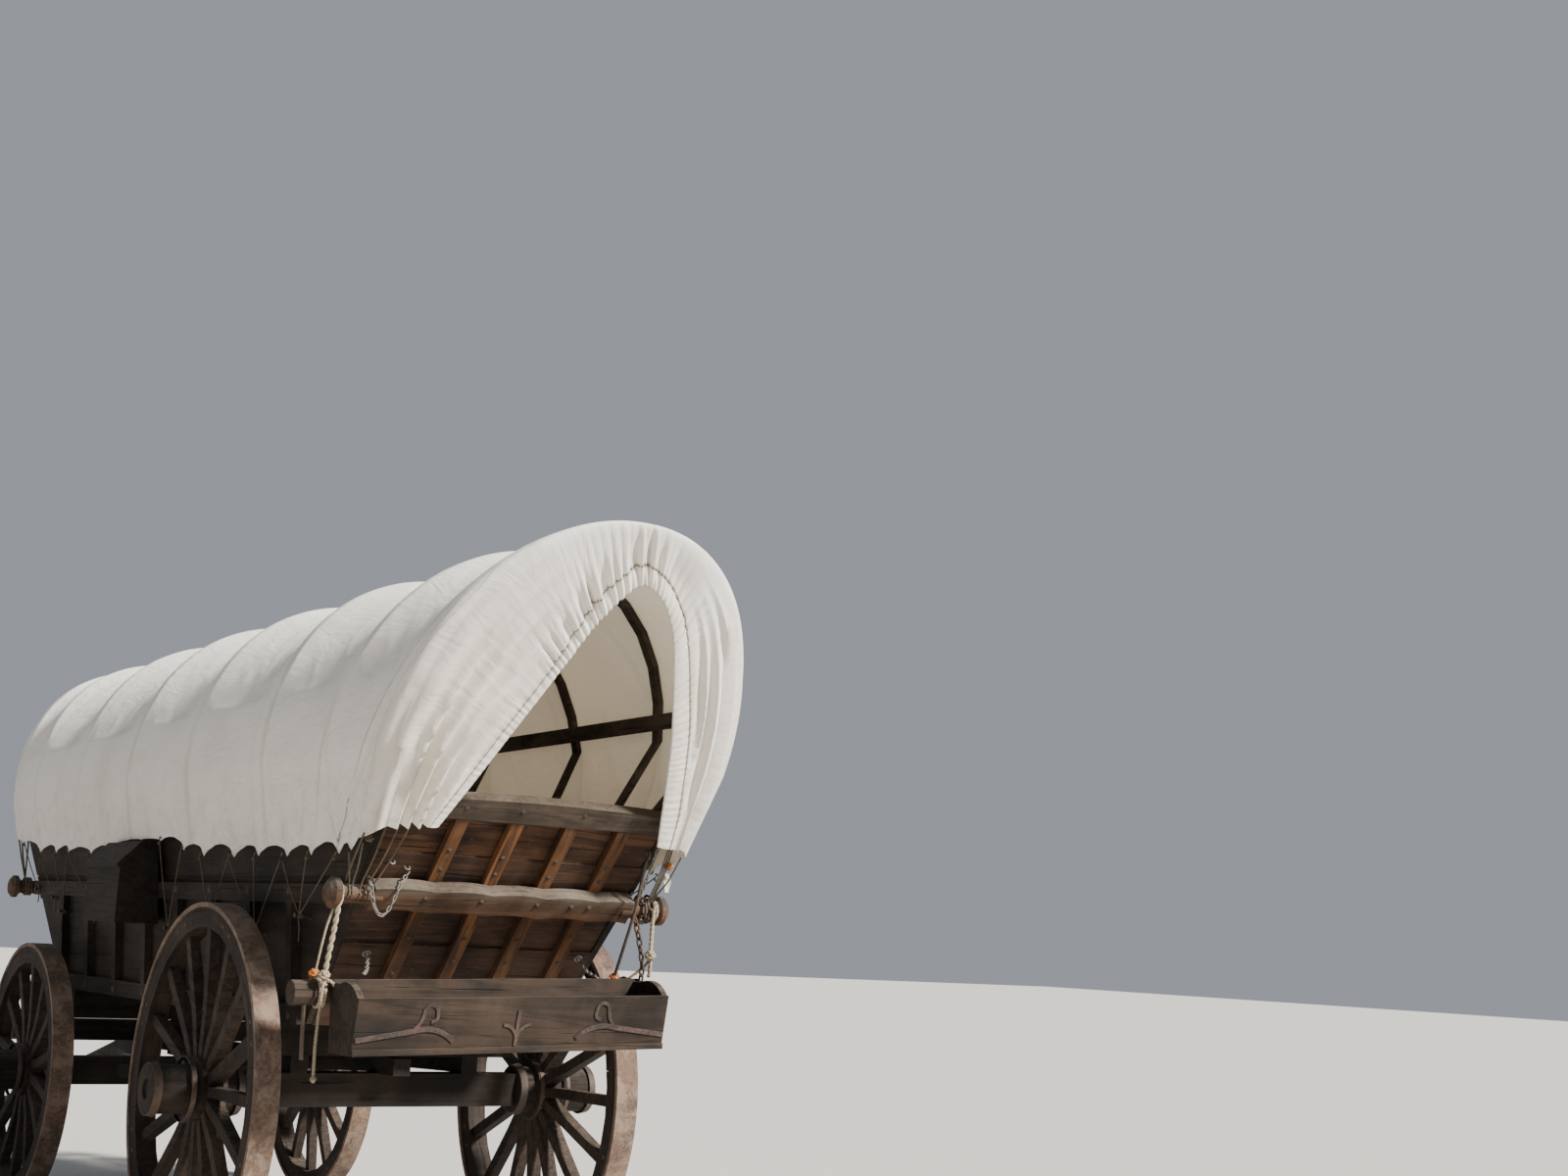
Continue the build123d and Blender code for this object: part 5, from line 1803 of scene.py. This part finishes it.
@dataclass
class Rigging:
    """Everything tied, chained or bolted on the wagon's box and cover."""

    axle_x: float
    hemp: bpy.types.Material
    shade_dark_hemp: bpy.types.Material
    pale: bpy.types.Material
    orange: bpy.types.Material
    iron: bpy.types.Material
    bright: bpy.types.Material
    nail: bpy.types.Material
    box: Box = Box()
    # outer face of a side frame: distance from the middle at a height, and its lean
    frame_y: float = 0.597
    frame_z: float = 1.486
    flare: float = math.radians(5.0)
    # axis of the rear crossbar's necks: x from the rear axle and height
    neck: Pair = (-0.9645, 1.450)
    hem_y: float = 0.662
    post_runs: tuple[float, ...] = (-1.5, -1.07, -0.64, -0.215, 0.215, 0.64, 1.07, 1.5)
    rail_heights: Pair = (1.455, 0.998)
    # stretch of the left side where the toolbox hides the upper bolts
    hidden_run: Pair = (1.12, 1.64)
    # iron pins on the side boards: x from the rear axle and height
    pins: tuple[Pair, ...] = (
        (0.995, 1.287), (0.473, 1.346), (-0.028, 1.298), (-0.484, 1.366), (2.050, 1.342),
        (2.580, 1.334), (2.710, 1.400), (3.020, 1.440),
    )
    # ties: number of the pin, then place and height of the hem tip
    ties: tuple[Triple, ...] = (
        (0, 0.986, 1.652), (0, 0.695, 1.610), (1, 0.458, 1.584), (1, 0.124, 1.574), (2, 0.124, 1.576),
        (2, -0.153, 1.578), (2, -0.436, 1.576), (3, -0.436, 1.576), (3, -0.683, 1.580),
        (3, -0.938, 1.576), (4, 1.755, 1.615), (4, 2.010, 1.607), (4, 2.354, 1.616), (5, 2.354, 1.616),
        (5, 2.570, 1.610), (6, 2.830, 1.609), (7, 2.830, 1.609), (7, 3.150, 1.671),
    )
    # nails in the slats: distance right of the gate's middle, and distances up the gate
    slat_nails: tuple[tuple[float, tuple[float, ...]], ...] = (
        (-0.290, (0.811, 0.902, 0.484, 0.300)),
        (-0.070, (0.805, 0.884, 0.487, 0.372)),
        (0.150, (0.806, 0.884, 0.490, 0.379)),
        (0.370, (0.804, 0.872, 0.523, 0.386)),
    )
    crossbar_nails: tuple[float, ...] = (-0.330, -0.108, 0.120, 0.264, 0.339)
    top_rail_nails: tuple[Pair, ...] = ((-0.297, 1.101), (-0.077, 1.105), (0.174, 1.111), (0.385, 1.096))
    # faces of the gate, as distances out of its boards
    slat_face: float = 0.030
    upper_board_face: float = -0.009

    def gate_out(self) -> Vector:
        """Direction out of the rear gate."""
        return Vector((-math.cos(self.box.rake), 0.0, -math.sin(self.box.rake)))

    def on_gate(self, right: float, slope: float, out: float) -> Vector:
        """A point on the rear gate.

        Args:
            right: Distance to the right of the middle.
            slope: Distance up the gate.
            out: Distance out of its face.

        Returns:
            The point.
        """
        foot = Vector((self.box.foot_x, 0.0, self.box.foot_z))
        up = Vector((-math.sin(self.box.rake), 0.0, math.cos(self.box.rake)))
        return foot + up * slope + self.gate_out() * out - Vector((0.0, right, 0.0))

    def on_neck(self, y: float) -> Vector:
        """A point on the axis of the rear crossbar's necks."""
        return Vector((self.neck[0], y, self.neck[1]))

    def side_y(self, z: float) -> float:
        """Distance from the middle of the side frame's outer face at a height."""
        return self.frame_y + (z - self.frame_z) * math.tan(self.flare)

    def place(self, name: str, shape: Shape, slot: str, finish: bpy.types.Material) -> bpy.types.Object:
        """Puts a shape in the scene as a piece of the wagon."""
        return add_object(name, shape.mesh(name, self.axle_x), "wagon", finish)

    def side_ties(self, side: int) -> None:
        """Ties of one side: from the hem's tips to the pins.

        Args:
            side: 1 for left and -1 for right.
        """
        ropes = Shape()
        chance = random.Random(11 + side)
        for index, x, z in self.ties:
            pin_x, pin_z = self.pins[index]
            tip = Vector((x, side * self.hem_y, z + 0.004))
            end = Vector((pin_x, side * (self.side_y(pin_z) + 0.006), pin_z))
            lean = chance.uniform(-0.004, 0.004)
            middle = tip.lerp(end, 0.5) + Vector((lean, side * 0.002, -0.006))
            ropes.rope([tip + Vector((0, -side * 0.006, 0.010)), tip, middle, end], 0.0027)
            ropes.knot(tip + Vector((0.0, side * 0.001, -0.012)), 0.008, 0.0024)
        for pin_x, pin_z in self.pins:
            centre = Vector((pin_x, side * (self.side_y(pin_z) + 0.002), pin_z))
            ropes.coil(centre, Vector(LEFT), 0.0090, 0.0028, 3.2, 0.018)
            tail = Vector((chance.uniform(-0.02, 0.02), side * 0.004, -chance.uniform(0.05, 0.10)))
            root = centre + Vector((0, side * 0.006, -0.008))
            ropes.rope([root, centre + tail * 0.5, centre + tail], 0.003)
        label = "left" if side > 0 else "right"
        self.place(f"{label}_hem_ties", ropes, "rope", self.shade_dark_hemp)

    def side_pins(self) -> None:
        """Iron pins on the side boards that the ties are wound on."""
        irons = Shape()
        shank = [(0.0, 0.0065), (0.068, 0.0060), (0.078, 0.0062)]
        head = [(0.080, 0.0095), (0.084, 0.0100), (0.087, 0.0070)]
        collar = [(0.0, 0.016), (0.006, 0.015), (0.008, 0.010)]
        for side in (1, -1):
            for x, z in self.pins:
                root = Vector((x, side * (self.side_y(z) - 0.060), z - 0.003))
                out = Vector((0.0, float(side), 0.06))
                irons.turned(root, out, shank + head, 10)
                irons.turned(root + out * 0.016, out, collar, 12)
        self.place("tie_pins", irons, "iron", self.iron)

    def side_bolts(self) -> None:
        """Bolt heads where the posts cross the rails of the side frames."""
        bolts = Shape()
        upper, _ = self.rail_heights
        start, end = self.hidden_run
        for side in (1, -1):
            out = Vector((0.0, side * math.cos(self.flare), -math.sin(self.flare)))
            for run in self.post_runs:
                x = self.box.middle + run
                for z in self.rail_heights:
                    if side > 0 and z == upper and start < x < end:
                        continue
                    bolts.bolt(Vector((x, side * self.side_y(z), z)), out, 0.0105, 0.006)
        self.place("side_frame_bolts", bolts, "iron", self.iron)

    def gate_nails(self) -> None:
        """Nail and bolt heads on the rear gate's slats, boards, top rail and crossbar."""
        heads = Shape()
        out = self.gate_out()
        for right, slopes in self.slat_nails:
            for slope in slopes:
                heads.bolt(self.on_gate(right, slope, self.slat_face), out, 0.0066, 0.004)
        for right in self.crossbar_nails:
            heads.bolt(self.on_gate(right, 0.718, 0.086), out, 0.0076, 0.005)
        for right, slope in self.top_rail_nails:
            heads.bolt(self.on_gate(right, slope, 0.033), out, 0.0060, 0.0035)
        for right in (-0.44, -0.2, 0.03, 0.26, 0.44):
            for slope in (0.10, 0.30, 0.70, 0.93):
                face = 0.0 if slope < 0.8 else self.upper_board_face
                heads.bolt(self.on_gate(right, slope, face), out, 0.0042, 0.0025)
        self.place("gate_nails", heads, "iron", self.nail)

    def staple(self, shape: Shape, place: Vector, out: Vector, size: float = 0.016) -> None:
        """Adds an eye on a plate.

        Args:
            shape: The shape that it is added to.
            place: Where it sits.
            out: The direction that it points in.
            size: Half its height.
        """
        plate = [(0.0, size * 1.1), (0.004, size * 1.1), (0.005, size * 0.9)]
        shape.turned(place - out * 0.003, out, plate, 10)
        aside = out.cross(Vector(ABOVE)).normalized()
        shape.link(place + out * size * 0.8, out, aside, size * 0.8, size * 0.6, 0.0035)

    def gate_chains(self) -> None:
        """Thin chains and staples of the rear gate."""
        chains = Shape()
        out = self.gate_out()
        for right, slope, face in (
            (-0.404, 0.791, self.upper_board_face),
            (-0.406, 0.367, 0.0),
            (0.470, 0.385, 0.0),
            (-0.470, 0.813, self.upper_board_face),
        ):
            self.staple(chains, self.on_gate(right, slope, face), out)
        loop = spots(
            (-1.030, 0.443, 1.492),
            (-1.022, 0.470, 1.415),
            (-1.022, 0.505, 1.376),
            (-1.026, 0.537, 1.415),
            (-1.030, 0.554, 1.482),
            (-1.000, 0.556, 1.512),
        )
        left_run = spots((-0.81, 0.45, 1.185), (-0.905, 0.500, 1.172))
        right_run = spots((-0.81, -0.46, 1.205), (-0.905, -0.450, 1.187))
        chains.chain([self.on_gate(-0.404, 0.791, self.slat_face), *loop], 0.021, 0.0026)
        chains.chain([self.on_gate(-0.406, 0.367, 0.020), *left_run], 0.021, 0.0028)
        chains.chain([self.on_gate(0.470, 0.385, 0.020), *right_run], 0.021, 0.0028)
        self.place("gate_chains", chains, "iron", self.bright)

    def tie_rod(self) -> None:
        """Bent rod from the cover's right corner down to the trough, and the ring that it is tied to."""
        rod = Shape()
        line = spots(
            (-1.135, -0.500, 1.640),
            (-1.075, -0.507, 1.500),
            (-1.052, -0.509, 1.440),
            (-0.985, -0.508, 1.300),
            (-0.930, -0.506, 1.185),
        )
        rod.tube(eased(line, 6), 0.0065, 8)
        rod.link(Vector((-1.140, -0.500, 1.652)), Vector(ABOVE), Vector(AHEAD), 0.016, 0.012, 0.005)
        self.place("trough_tie_rod", rod, "iron", self.iron)
        ring = Shape()
        tilt = Vector((0.3, 0, 1)).normalized()
        ring.link(Vector((-0.926, -0.506, 1.178)), tilt, Vector(LEFT), 0.020, 0.018, 0.006)
        ring.knot(Vector((-0.930, -0.506, 1.196)), 0.014, 0.004)
        self.place("trough_tie_ring", ring, "rope", self.orange)

    def left_hanger(self) -> None:
        """Doubled rope that carries the trough's left end from the crossbar."""
        ropes = Shape()
        neck = self.on_neck(0.600)
        axis = Vector(LEFT)
        tie, tail, tail_knot, eye, eye_end, bar = spots(
            (-0.955, 0.668, 1.165),
            (-0.955, 0.677, 0.800),
            (-0.955, 0.677, 0.812),
            (-0.950, 0.635, 1.140),
            (-0.940, 0.622, 1.128),
            (-0.878, 0.655, 1.104),
        )
        ropes.coil(neck + axis * 0.048, axis, 0.039, 0.0070, 1.3, 0.016)
        start, top = neck + Vector((-0.040, 0.050, -0.004)), neck + Vector((-0.032, 0.052, -0.030))
        ropes.rope([start, top, top.lerp(tie, 0.5), tie], 0.0102, 6.4, 2)
        ropes.knot(tie, 0.021, 0.0065)
        ropes.rope([tie, *spots((-0.950, 0.673, 1.05), (-0.947, 0.677, 0.92)), tail], 0.0058)
        ropes.knot(tail_knot, 0.011, 0.0042)
        ropes.rope([tie, Vector((-0.952, 0.655, 1.150)), eye, eye_end], 0.006)
        ropes.coil(bar, axis, 0.050, 0.0075, 2.2, 0.034)
        ropes.rope([tie, *spots((-0.915, 0.668, 1.170), (-0.878, 0.662, 1.154))], 0.008)
        cord = spots((-0.905, 0.655, 1.330), (-0.868, 0.668, 1.170))
        ropes.rope([neck + Vector((0.030, 0.035, -0.02)), *cord], 0.0045)
        hanger = self.place("left_trough_rope", ropes, "rope", self.hemp)
        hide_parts("trough_hangers")

    def knots_and_strap(self) -> None:
        """Orange knots on the trough's left cord and at the canvas's right corner, and the bar's strap."""
        knot = Shape()
        knot.knot(Vector((-0.862, 0.668, 1.168)), 0.020, 0.0065)
        tail = spots((-0.862, 0.676, 1.160), (-0.868, 0.690, 1.11), (-0.875, 0.694, 1.060))
        knot.rope(tail, 0.0045)
        knot.knot(Vector((-1.092, -0.621, 1.618)), 0.018, 0.006)
        self.place("orange_knots", knot, "rope", self.orange)
        strap = Shape()
        line = eased(spots((-0.880, 0.700, 1.130), (-0.884, 0.704, 1.020), (-0.888, 0.700, 0.872)), 8)
        for sideways in (-0.008, 0.0, 0.008):
            strap.tube([point + Vector((sideways, 0, 0)) for point in line], 0.0046, 6)
        self.place("left_bar_strap", strap, "rope", self.shade_dark_hemp)

    def right_hanger(self) -> None:
        """Chain and rope that carry the trough's right end."""
        chain = Shape()
        neck = self.on_neck(-0.590)
        axis = Vector(LEFT)
        links = 7
        for step in range(links):
            angle = step / links * 2 * math.pi
            for row, shift in enumerate((-0.018, 0.012)):
                here = angle + row * 0.4
                out = Vector((math.cos(here), 0.0, math.sin(here)))
                way = Vector((-math.sin(here), 0.0, math.cos(here)))
                aside = axis if (step + row) % 2 else out
                chain.link(neck + axis * shift + out * 0.044, way, aside, 0.021, 0.012, 0.0048)
        fall = spots((-0.985, -0.575, 1.34), (-0.968, -0.606, 1.230), (-0.945, -0.612, 1.150))
        chain.chain([neck + Vector((-0.030, 0.045, -0.030)), *fall], 0.029, 0.0042)
        hanger = self.place("right_trough_chain", chain, "iron", self.iron)
        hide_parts("trough_hangers")
        ropes = Shape()
        tie = Vector((-0.992, -0.625, 1.280))
        above = spots((-1.000, -0.622, 1.400), (-0.992, -0.625, 1.285))
        ropes.rope([neck + Vector((-0.040, -0.030, 0.01)), *above], 0.0085)
        ropes.knot(tie, 0.022, 0.007)
        ropes.rope([tie, *spots((-0.985, -0.632, 1.240), (-0.975, -0.634, 1.198))], 0.008)
        ropes.rope([tie, *spots((-0.935, -0.640, 1.240), (-0.880, -0.590, 1.180))], 0.006)
        ropes.coil(neck - axis * 0.040, axis, 0.040, 0.0075, 2.2, 0.026)
        ropes.coil(Vector((-0.878, -0.585, 1.144)), axis, 0.048, 0.006, 1.3, 0.018)
        self.place("right_trough_rope", ropes, "rope", self.hemp)

    def corner_cords(
        self, ropes: Shape, neck: Vector, sag: Triple, cords: Sequence[tuple[Triple, float, float]]
    ) -> None:
        """Adds the cords from one lower corner of the canvas to a neck of the crossbar.

        Args:
            ropes: The shape that they are added to.
            neck: The middle of the neck.
            sag: How far a cord's middle hangs off its straight line.
            cords: For each its start, its place along the neck, and how far round the neck it meets it.
        """
        for start, reach, turn in cords:
            seat = neck + Vector(LEFT) * reach
            end = seat + Vector((-0.040 + 0.02 * turn, 0.0, 0.020 + 0.03 * turn))
            middle = Vector(start).lerp(end, 0.5) + Vector(sag)
            ropes.rope([Vector(start), middle, end, seat + Vector((-0.044, 0.0, sag[2]))], 0.0034)

    def rear_lashings(self) -> None:
        """Cords from the canvas's lower corners to the crossbar's necks."""
        ropes = Shape()
        left, right = self.on_neck(0.600), self.on_neck(-0.600)
        left_cords = (
            ((-1.170, 0.569, 1.712), -0.020, 0.3),
            ((-1.170, 0.525, 1.700), -0.040, 0.1),
            ((-1.165, 0.482, 1.700), -0.055, -0.1),
            ((-1.125, 0.640, 1.622), 0.010, 0.4),
            ((-1.040, 0.652, 1.590), 0.022, 0.6),
        )
        right_cords = (
            ((-1.185, -0.560, 1.682), 0.010, 0.1),
            ((-1.185, -0.572, 1.690), -0.005, 0.3),
            ((-1.185, -0.584, 1.696), -0.018, 0.5),
            ((-1.150, -0.640, 1.650), -0.026, 0.7),
        )
        self.corner_cords(ropes, left, (-0.004, 0.0, -0.008), left_cords)
        outer = spots((-1.165, 0.655, 1.655), (-1.09, 0.648, 1.585))
        ropes.rope([*outer, left + Vector((-0.01, 0.03, 0.042))], 0.004)
        ropes.knot(Vector((-1.110, 0.610, 1.640)), 0.016, 0.005)
        self.corner_cords(ropes, right, (-0.006, 0.0, -0.010), right_cords)
        self.place("rear_corner_lashings", ropes, "rope", self.shade_dark_hemp)

    def right_corner(self) -> None:
        """Tassel and thin chain at the canvas's lower right corner."""
        tassel = Shape()
        strands = 7
        for index in range(strands):
            fan = (index - strands // 2) * 0.0045
            ends = spots((-1.050, -0.645 - fan, 1.565), (-1.035 + fan, -0.654 - fan, 1.520))
            tassel.rope([Vector((-1.062, -0.628, 1.590)), *ends], 0.003)
        tassel.coil(Vector((-1.058, -0.634, 1.582)), Vector((0.3, -0.4, -1)), 0.009, 0.0026, 2.5, 0.012)
        self.place("pale_tassel", tassel, "rope", self.pale)
        glint = Shape()
        fall = spots((-1.185, -0.520, 1.690), (-1.150, -0.523, 1.640), (-1.03, -0.545, 1.510))
        glint.chain(fall, 0.018, 0.0024)
        self.place("right_corner_chain", glint, "iron", self.bright)

    def front_lashings(self) -> None:
        """Cords from the canvas's front corners to the front crossbar."""
        low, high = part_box("front_crossbar")
        bar_x = (low[0] + high[0]) / 2 - self.axle_x
        bar_z = (low[2] + high[2]) / 2
        ropes = Shape()
        for side in (1, -1):
            neck = Vector((bar_x, side * 0.600, bar_z))
            ropes.coil(neck, Vector(LEFT), 0.042, 0.006, 3.2, 0.040)
            for x, y, z in ((3.300, 0.650, 1.690), (3.220, 0.655, 1.682), (3.310, 0.600, 1.700)):
                start = Vector((x, side * y, z))
                end = neck + Vector((0.02, side * 0.010, 0.040))
                ropes.rope([start, start.lerp(end, 0.5) + Vector((0, 0, -0.008)), end], 0.0045)
        self.place("front_corner_lashings", ropes, "rope", self.shade_dark_hemp)

    def build(self) -> None:
        """Builds all of it."""
        self.side_ties(1)
        self.side_ties(-1)
        self.side_pins()
        self.side_bolts()
        self.gate_nails()
        self.gate_chains()
        self.tie_rod()
        self.left_hanger()
        self.knots_and_strap()
        self.right_hanger()
        self.rear_lashings()
        self.right_corner()
        self.front_lashings()


@dataclass
class WheelIrons:
    """Iron bands and bolts of one wheel."""

    wheel: Wheel
    axle_x: float
    iron: bpy.types.Material
    # bands round the hub: runs along it and radii, from the outer end inwards
    bands: tuple[tuple[Pair, Pair], ...] = (
        ((0.172, 0.0985), (0.203, 0.0935)),
        ((0.050, 0.1215), (0.068, 0.1190)),
        ((-0.068, 0.1190), (-0.050, 0.1215)),
        ((-0.148, 0.0935), (-0.120, 0.1010)),
    )
    band_thick: float = 0.0035
    bolt_gap: float = 0.045
    tyre_thick: float = 0.018
    bolt_depth: float = 0.034
    felloe_face: float = 0.041

    def build(self) -> None:
        """Builds the irons; they turn with the wheel."""
        irons = Shape()
        hub = Vector(self.wheel.centre())
        out = Vector((0.0, float(self.wheel.side), 0.0))
        for inner in self.bands:
            irons.band(hub, out, inner, self.band_thick)
        joints = self.wheel.spokes // 2
        reach = self.wheel.radius - self.tyre_thick - self.bolt_depth
        for joint in range(joints):
            for gap in (-self.bolt_gap, self.bolt_gap):
                angle = 2 * math.pi * (joint + 0.5) / joints + gap / self.wheel.radius
                ahead, up = math.cos(angle) * reach, math.sin(angle) * reach
                for face in (1, -1):
                    seat = hub + Vector((ahead, face * self.felloe_face, up))
                    irons.bolt(seat, Vector((0.0, float(face), 0.0)), 0.0065, 0.004)
        name = f"{self.wheel.name}_irons"
        add_object(name, irons.mesh(name, self.axle_x), f"{self.wheel.name}_wheel", self.iron)


# Stage


@dataclass
class Studio:
    """Camera at the photograph's angle, pale floor and soft light."""

    axle_x: float
    focal: float = 46.71
    sensor: float = 36.0
    yaw: float = math.radians(34.5)
    pitch: float = math.radians(9.9)
    roll: float = math.radians(2.8)
    eye: Triple = (-7.76, 3.49, 1.35)
    half_floor: float = 60.0
    floor_drop: float = 0.001
    sun_strength: float = 11.0
    sun_angle: float = math.radians(9.0)
    sun_colour: Colour = (1.0, 0.955, 0.89)
    towards_sun: Triple = (-0.80, -0.40, 0.64)
    sky_colour: Colour = (0.80, 0.86, 0.95)
    sky_strength: float = 0.40

    def camera(self) -> None:
        """Makes the scene's camera."""
        data = bpy.data.cameras.new("view")
        data.lens = self.focal
        data.sensor_width = self.sensor
        data.clip_end = 200.0
        view = bpy.data.objects.new("view", data)
        bpy.context.scene.collection.objects.link(view)
        ahead = Vector((math.cos(self.yaw), -math.sin(self.yaw), 0.0))
        right = Vector((-math.sin(self.yaw), -math.cos(self.yaw), 0.0))
        up = Vector(ABOVE)
        look = ahead * math.cos(self.pitch) + up * math.sin(self.pitch)
        over = up * math.cos(self.pitch) - ahead * math.sin(self.pitch)
        right_axis = right * math.cos(self.roll) + over * math.sin(self.roll)
        up_axis = over * math.cos(self.roll) - right * math.sin(self.roll)
        turn = Matrix((right_axis, up_axis, -look)).transposed().to_4x4()
        x, y, z = self.eye
        view.matrix_world = Matrix.Translation((x + self.axle_x, y, z)) @ turn
        bpy.context.scene.camera = view

    def floor(self) -> None:
        """Lays the pale floor."""
        mesh = bpy.data.meshes.new("floor")
        half = self.half_floor
        corners = [(x * half, y * half, 0.0) for x, y in ((-1, -1), (1, -1), (1, 1), (-1, 1))]
        mesh.from_pydata(corners, [], [(0, 1, 2, 3)])
        ground = bpy.data.objects.new("floor", mesh)
        ground.location.z = -self.floor_drop
        bpy.context.scene.collection.objects.link(ground)
        mesh.materials.append(Ground().make())

    def light(self) -> None:
        """Hangs one broad soft light behind and to the right, with a pale sky all round."""
        key = bpy.data.lights.new("key", "SUN")
        key.energy = self.sun_strength
        key.angle = self.sun_angle
        key.color = self.sun_colour
        lamp = bpy.data.objects.new("key", key)
        bpy.context.scene.collection.objects.link(lamp)
        lamp.rotation_mode = "QUATERNION"
        lamp.rotation_quaternion = Vector(self.towards_sun).to_track_quat("Z", "Y")
        world = bpy.data.worlds.new("sky")
        bpy.context.scene.world = world
        world.use_nodes = True
        shade = world.node_tree.nodes["Background"]
        shade.inputs["Color"].default_value = (*self.sky_colour, 1.0)
        shade.inputs["Strength"].default_value = self.sky_strength

    def build(self) -> None:
        """Builds camera, floor and light."""
        self.camera()
        self.floor()
        self.light()


def middle_x(node: str) -> float:
    """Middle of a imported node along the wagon."""
    low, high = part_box(node)
    return (low[0] + high[0]) / 2


def rigging(axle_x: float, iron: bpy.types.Material) -> Rigging:
    """The rigging with its own finishes.

    Args:
        axle_x: Place of the rear axle.
        iron: The rusty iron that it shares with the wheels.

    Returns:
        The rigging, ready to be built.
    """
    hemp = Hemp("greyed_hemp").make()
    # dark hemp for the side ties and lashings: the rope's own grey-brown, darkened as painted shade for the
    # shaded side
    shade_dark_hemp = Hemp("shade_darkened_hemp", light=(0.17, 0.135, 0.095), dark=(0.055, 0.042, 0.030)).make()
    pale = Hemp("pale_cotton_cord", light=(0.72, 0.68, 0.58), dark=(0.42, 0.37, 0.28)).make()
    orange = Hemp("orange_cord", light=(0.62, 0.23, 0.06), dark=(0.30, 0.10, 0.03)).make()
    bright = Iron("bare_chain_iron", metal=(0.20, 0.185, 0.165), rusting=0.35).make()
    nail = Iron(
        "old_nail_iron",
        metal=(0.030, 0.026, 0.024),
        rust=(0.055, 0.034, 0.024),
        bright=(0.06, 0.05, 0.045),
        rusting=0.85,
    ).make()
    return Rigging(axle_x, hemp, shade_dark_hemp, pale, orange, iron, bright, nail)


def main() -> None:
    """Dresses the wagon, piece by piece."""
    logging.basicConfig(level=logging.INFO, format="%(name)s: %(message)s")
    axle_x = middle_x("rear_left_hub")
    wheelbase = middle_x("front_left_hub") - axle_x
    wheels = [
        Wheel(f"{end}_{label}", run, side, radius, spokes)
        for end, run, radius, spokes in (("rear", 0.0, 0.700, 16), ("front", wheelbase, 0.590, 14))
        for label, side in (("left", 1), ("right", -1))
    ]
    iron = Iron("rusty_iron").make()
    Studio(axle_x).build()
    cover = CanvasCover(axle_x)
    cover.build(Duck("cotton_duck", cover.seam).make())
    NodeFinishes(axle_x, wheels).dress()
    rigging(axle_x, iron).build()
    for wheel in wheels:
        WheelIrons(wheel, axle_x, iron).build()


if __name__ == "__main__":
    main()
